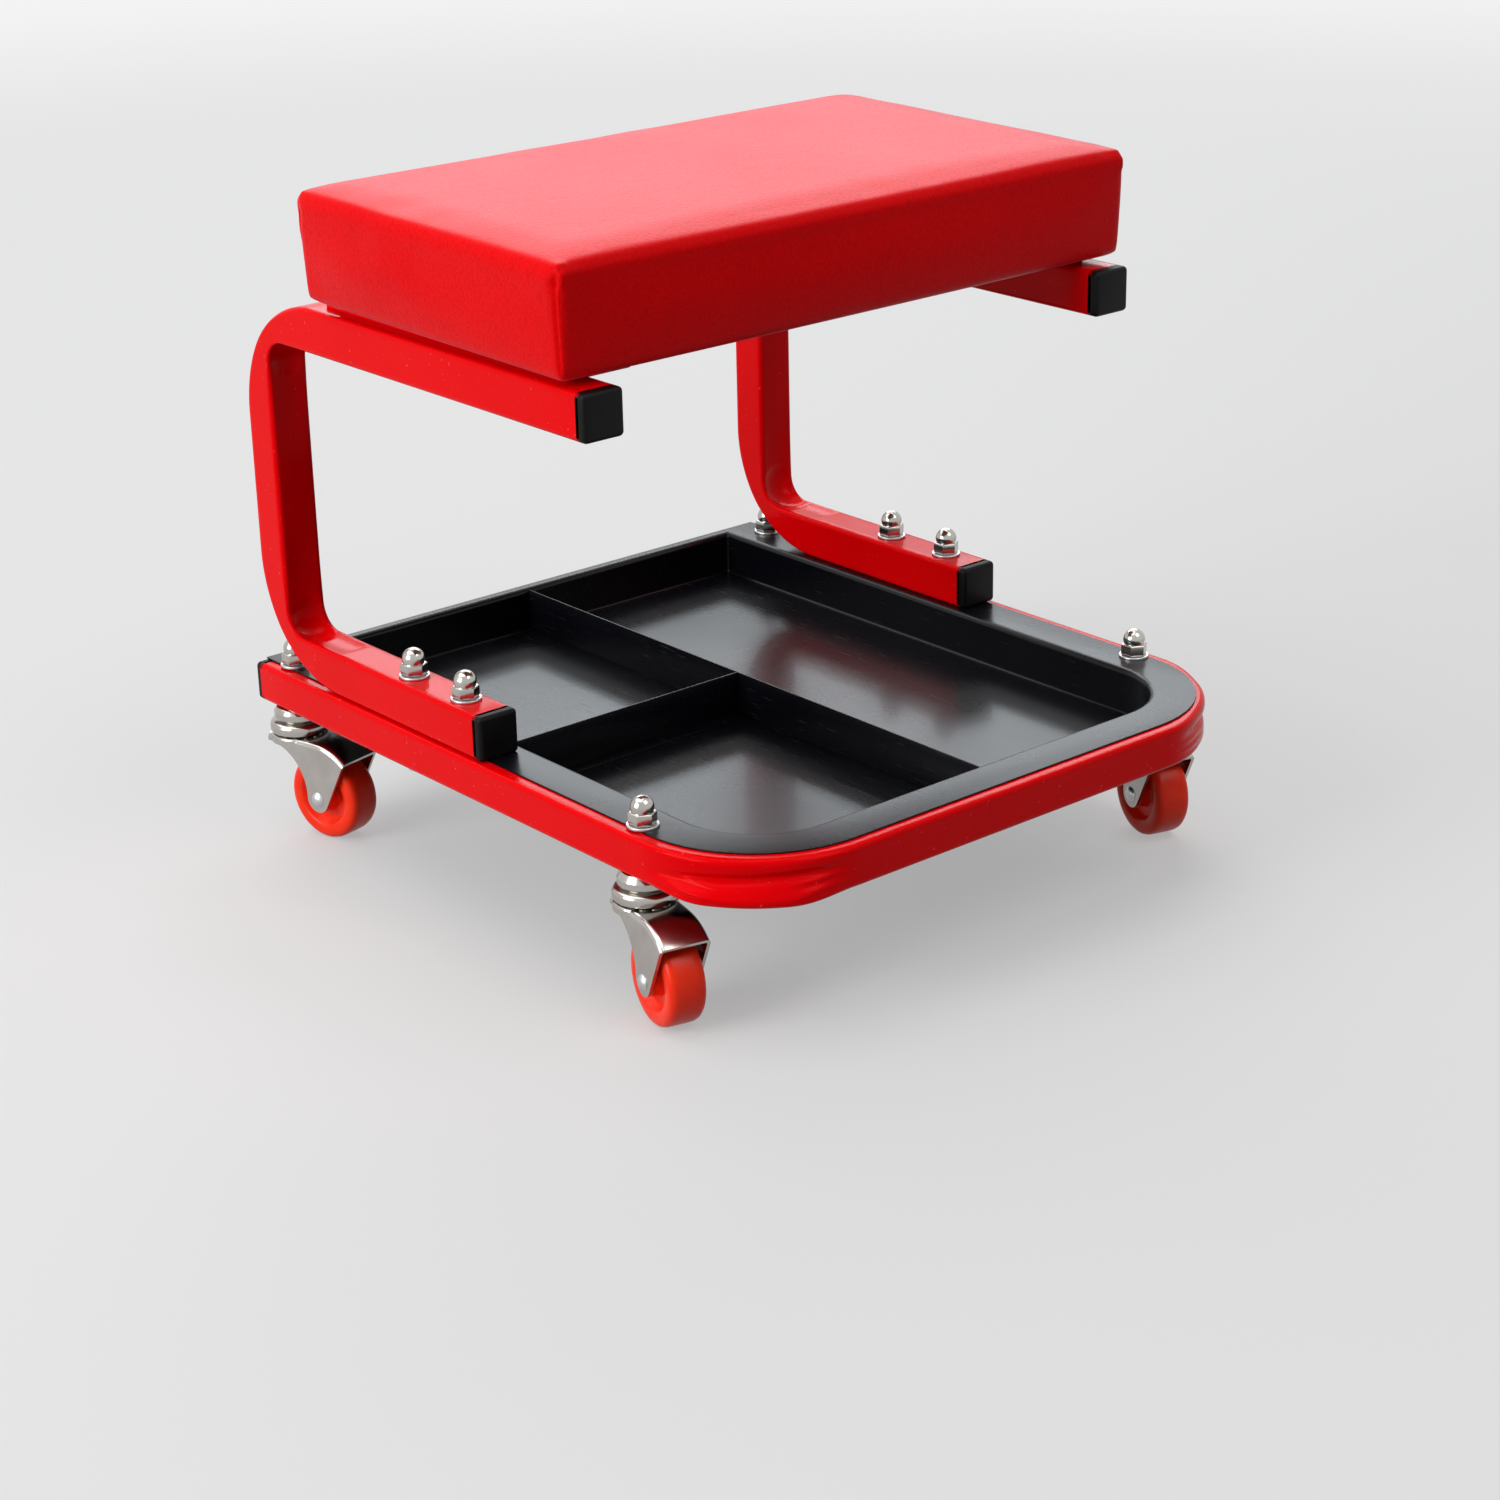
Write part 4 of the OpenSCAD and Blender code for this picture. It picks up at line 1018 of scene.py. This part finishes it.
def nuts_and_washers():
    """Cap nuts on washers, on the lower arms and over the caster stems."""
    arm_top = FRAME_BOTTOM + FRAME_TUBE
    flange_top = FRAME_BOTTOM
    frame_places = [(side * FRAME_X, y, arm_top) for side in (-1, 1) for y in FRAME_BOLT_Y]
    caster_places = [(x, y, flange_top) for x, y, _ in CASTERS.values()]
    for name, places in (("frame", frame_places), ("caster", caster_places)):
        flats = copies(washer, places)
        finish_piece(name + "_flat_washers", flats, ZINC, ROOT, (name + "_washers",))
        domes = copies(cap_nut, [(x, y, z + WASHER_T) for x, y, z in places])
        finish_piece(name + "_domed_nuts", domes, CHROME, ROOT, (name + "_cap_nuts",))


def at_caster(shape, corner):
    """Moves a form from the swivel axis at the origin to a caster's corner."""
    x, y, heading = CASTERS[corner]
    move = Matrix.Translation((x, y, 0)) @ Matrix.Rotation(math.radians(heading), 4, "Z")
    bmesh.ops.transform(shape, matrix=move, verts=shape.verts)
    return shape


def on_axle(shape):
    """Turns a form from the Z axis onto the caster's axle."""
    move = Matrix.Translation((TRAIL, 0, WHEEL_R)) @ Matrix.Rotation(math.pi / 2, 4, "X")
    bmesh.ops.transform(shape, matrix=move, verts=shape.verts)
    return shape


def wheel_form():
    """Moulded wheel: crowned tread, raised rim, dished recess and a long hub."""
    half = WHEEL_W / 2
    hub_half = 12.2
    hub_r = 8.1
    bore_r = 4.1
    web_half = 5.75
    recess_r = 15.0
    side = [(bore_r, hub_half), (hub_r - 0.6, hub_half), (hub_r, hub_half - 0.6),
            (hub_r + 0.2, web_half + 0.9), (hub_r + 1.0, web_half),
            (recess_r - 0.8, web_half), (recess_r, web_half + 0.8),
            (recess_r + 1.3, half - 0.7), (recess_r + 2.2, half),
            (WHEEL_R - 3.4, half), (WHEEL_R - 1.8, half - 0.5), (WHEEL_R - 0.6, half - 1.7),
            (WHEEL_R - 0.1, half - 3.4), (WHEEL_R, half - 6.0)]
    other = [(radius, -height) for radius, height in reversed(side)]
    return turned(side + [(WHEEL_R, 0.0)] + other, 0.0, 72)


def race_cap_form():
    """Pressed cap: a raised boss, a shoulder with a round edge and a short lip."""
    outside = [(4.5, 68.5), (10.4, 68.5), (11.8, 68.0), (12.4, 66.9), (13.2, 66.4), (15.2, 66.2),
               (16.4, 65.5), (17.0, 64.2), (17.0, 61.0), (16.7, 60.3)]
    inside = [(15.5, 60.3), (15.2, 61.0), (15.2, 64.4), (10.8, 64.6), (10.8, 66.7), (4.5, 66.7)]
    return turned(outside + inside, 0.0, 64)


def axle_form():
    """Rivet through both plates, with a domed head on each end."""
    side = [(0.0, 16.45), (1.6, 16.3), (3.2, 15.7), (4.2, 14.9), (4.56, 14.35), (3.0, 14.3)]
    other = [(radius, -height) for radius, height in reversed(side)]
    return turned(side + other, 0.0, 40, False)


def casters():
    """Every caster's own pieces, and its fork and stem as the solids have them."""
    for corner in CASTERS:
        wheel = at_caster(on_axle(wheel_form()), corner)
        finish_piece("wheel_moulding_" + corner, wheel, WHEEL_PLASTIC, "wheel_" + corner,
                     ("wheel_" + corner,), 40.0)
        cap = at_caster(race_cap_form(), corner)
        finish_piece("race_shell_" + corner, cap, CHROME, ROOT, ("race_cap_" + corner,), 40.0)
        rivet = at_caster(on_axle(axle_form()), corner)
        finish_piece("axle_rivet_" + corner, rivet, ZINC, "fork_" + corner,
                     ("axle_" + corner,), 40.0)
        smoothed_copy("fork_pressing_" + corner, "fork_" + corner, CHROME, "fork_" + corner)
        smoothed_copy("swivel_stem_" + corner, "stem_" + corner, CHROME, ROOT)


def carried_over():
    """Solids that stay as they are and only get their finish."""
    finishes = {
        "seat_board": PLYWOOD,
        "seat_tee_nuts": ZINC,
        "seat_bolts": ZINC,
        "seat_bolt_washers": ZINC,
        "frame_bolts": ZINC,
    }
    for corner in CASTERS:
        finishes["race_balls_" + corner] = CHROME
        finishes["bush_" + corner] = ZINC
    for node, material in finishes.items():
        for slot in nodes[node].material_slots:
            slot.material = material


# Stage

def studio():
    """Pale floor and world, broad lights left, above and in front, and two thin ones behind."""
    scene = bpy.context.scene
    scene.view_settings.view_transform = "Standard"
    mesh = bpy.data.meshes.new("floor")
    shape = bmesh.new()
    bmesh.ops.create_grid(shape, x_segments=1, y_segments=1, size=14.0)
    shape.to_mesh(mesh)
    shape.free()
    mesh.materials.append(pale_floor())
    floor = bpy.data.objects.new("floor", mesh)
    scene.collection.objects.link(floor)

    world = bpy.data.worlds.new("studio")
    scene.world = world
    world.use_nodes = True
    sky = Nodes(world.node_tree)
    background = sky.tree.nodes["Background"]
    background.inputs["Color"].default_value = (0.98, 0.99, 1.0, 1.0)
    sky.feed(background.inputs["Strength"], WORLD_LIGHT + (WORLD_SEEN - WORLD_LIGHT) * sky.seen())

    # Name, place, point it faces, width and height, and watts
    lamps = (
        ("left_light", (-2.6, 0.25, 1.1), (0.0, 0.0, 0.22), (1.5, 1.5), 58.0),
        ("back_light", (1.75, 2.0, 1.16), (0.0, 0.0, 1.16), (1.7, 0.34), 8.4),
        ("edge_light", (1.3, 1.6, 1.75), (0.0, 0.0, 0.22), (2.4, 0.5), 22.0),
        ("top_light", (-0.6, 0.9, 3.0), (0.0, 0.0, 0.22), (3.4, 3.4), 66.0),
        ("front_fill", (0.5, -1.9, 2.7), (0.0, 0.0, 0.22), (1.6, 1.6), 30.0),
    )
    for name, place, target, size, power in lamps:
        lamp = bpy.data.lights.new(name, "AREA")
        lamp.shape = "RECTANGLE"
        lamp.size, lamp.size_y = size
        lamp.energy = power
        light = bpy.data.objects.new(name, lamp)
        light.location = place
        aim = Vector(target) - Vector(place)
        light.rotation_euler = aim.to_track_quat("-Z", "Y").to_euler()
        scene.collection.objects.link(light)
    bpy.data.lights["back_light"].color = (0.86, 0.94, 1.0)


def photograph_camera():
    """The camera that took the photograph, fitted to the object's right angles."""
    azimuth = math.radians(CAMERA_AZIMUTH)
    elevation = math.radians(CAMERA_ELEVATION)
    roll = math.radians(CAMERA_ROLL)
    back = Vector((math.sin(azimuth) * math.cos(elevation),
                   -math.cos(azimuth) * math.cos(elevation), math.sin(elevation)))
    level = Vector((0, 0, 1)).cross(back).normalized()
    up = back.cross(level)
    right = math.cos(roll) * level + math.sin(roll) * up
    above = -math.sin(roll) * level + math.cos(roll) * up
    data = bpy.data.cameras.new("camera")
    data.lens = CAMERA_LENS
    data.sensor_width = 36.0
    camera = bpy.data.objects.new("camera", data)
    turn = Matrix((right, above, back)).transposed().to_4x4()
    camera.matrix_world = Matrix.Translation(CAMERA_AT) @ turn
    bpy.context.scene.collection.objects.link(camera)
    bpy.context.scene.camera = camera


def tube_end_plugs():
    """The plugs of the base's rear ends and of the arms' front ends."""
    width, height = BASE_TUBE
    x = BASE_SIDE - width / 2
    z = BASE_BOTTOM + height / 2
    end_plugs("base_plugs", [(-x, BASE_REAR, z), (x, BASE_REAR, z)], 1, width, height)
    for name, y, z in (("upper", FRAME_ARM_UP, ARM_TOP - FRAME_TUBE / 2),
                       ("lower", FRAME_ARM_LOW, FRAME_BOTTOM + FRAME_TUBE / 2)):
        end_plugs(name + "_arm_plugs", [(-FRAME_X, y, z), (FRAME_X, y, z)],
                  -1, FRAME_TUBE, FRAME_TUBE)


photograph_camera()
studio()
base_frame()
seat_frame(-1, "seat_frame_left")
seat_frame(1, "seat_frame_right")
tube_end_plugs()
tool_tray()
dividers()
seat_plates()
weld_beads()
seat_cushion()
hem_staples()
nuts_and_washers()
casters()
carried_over()
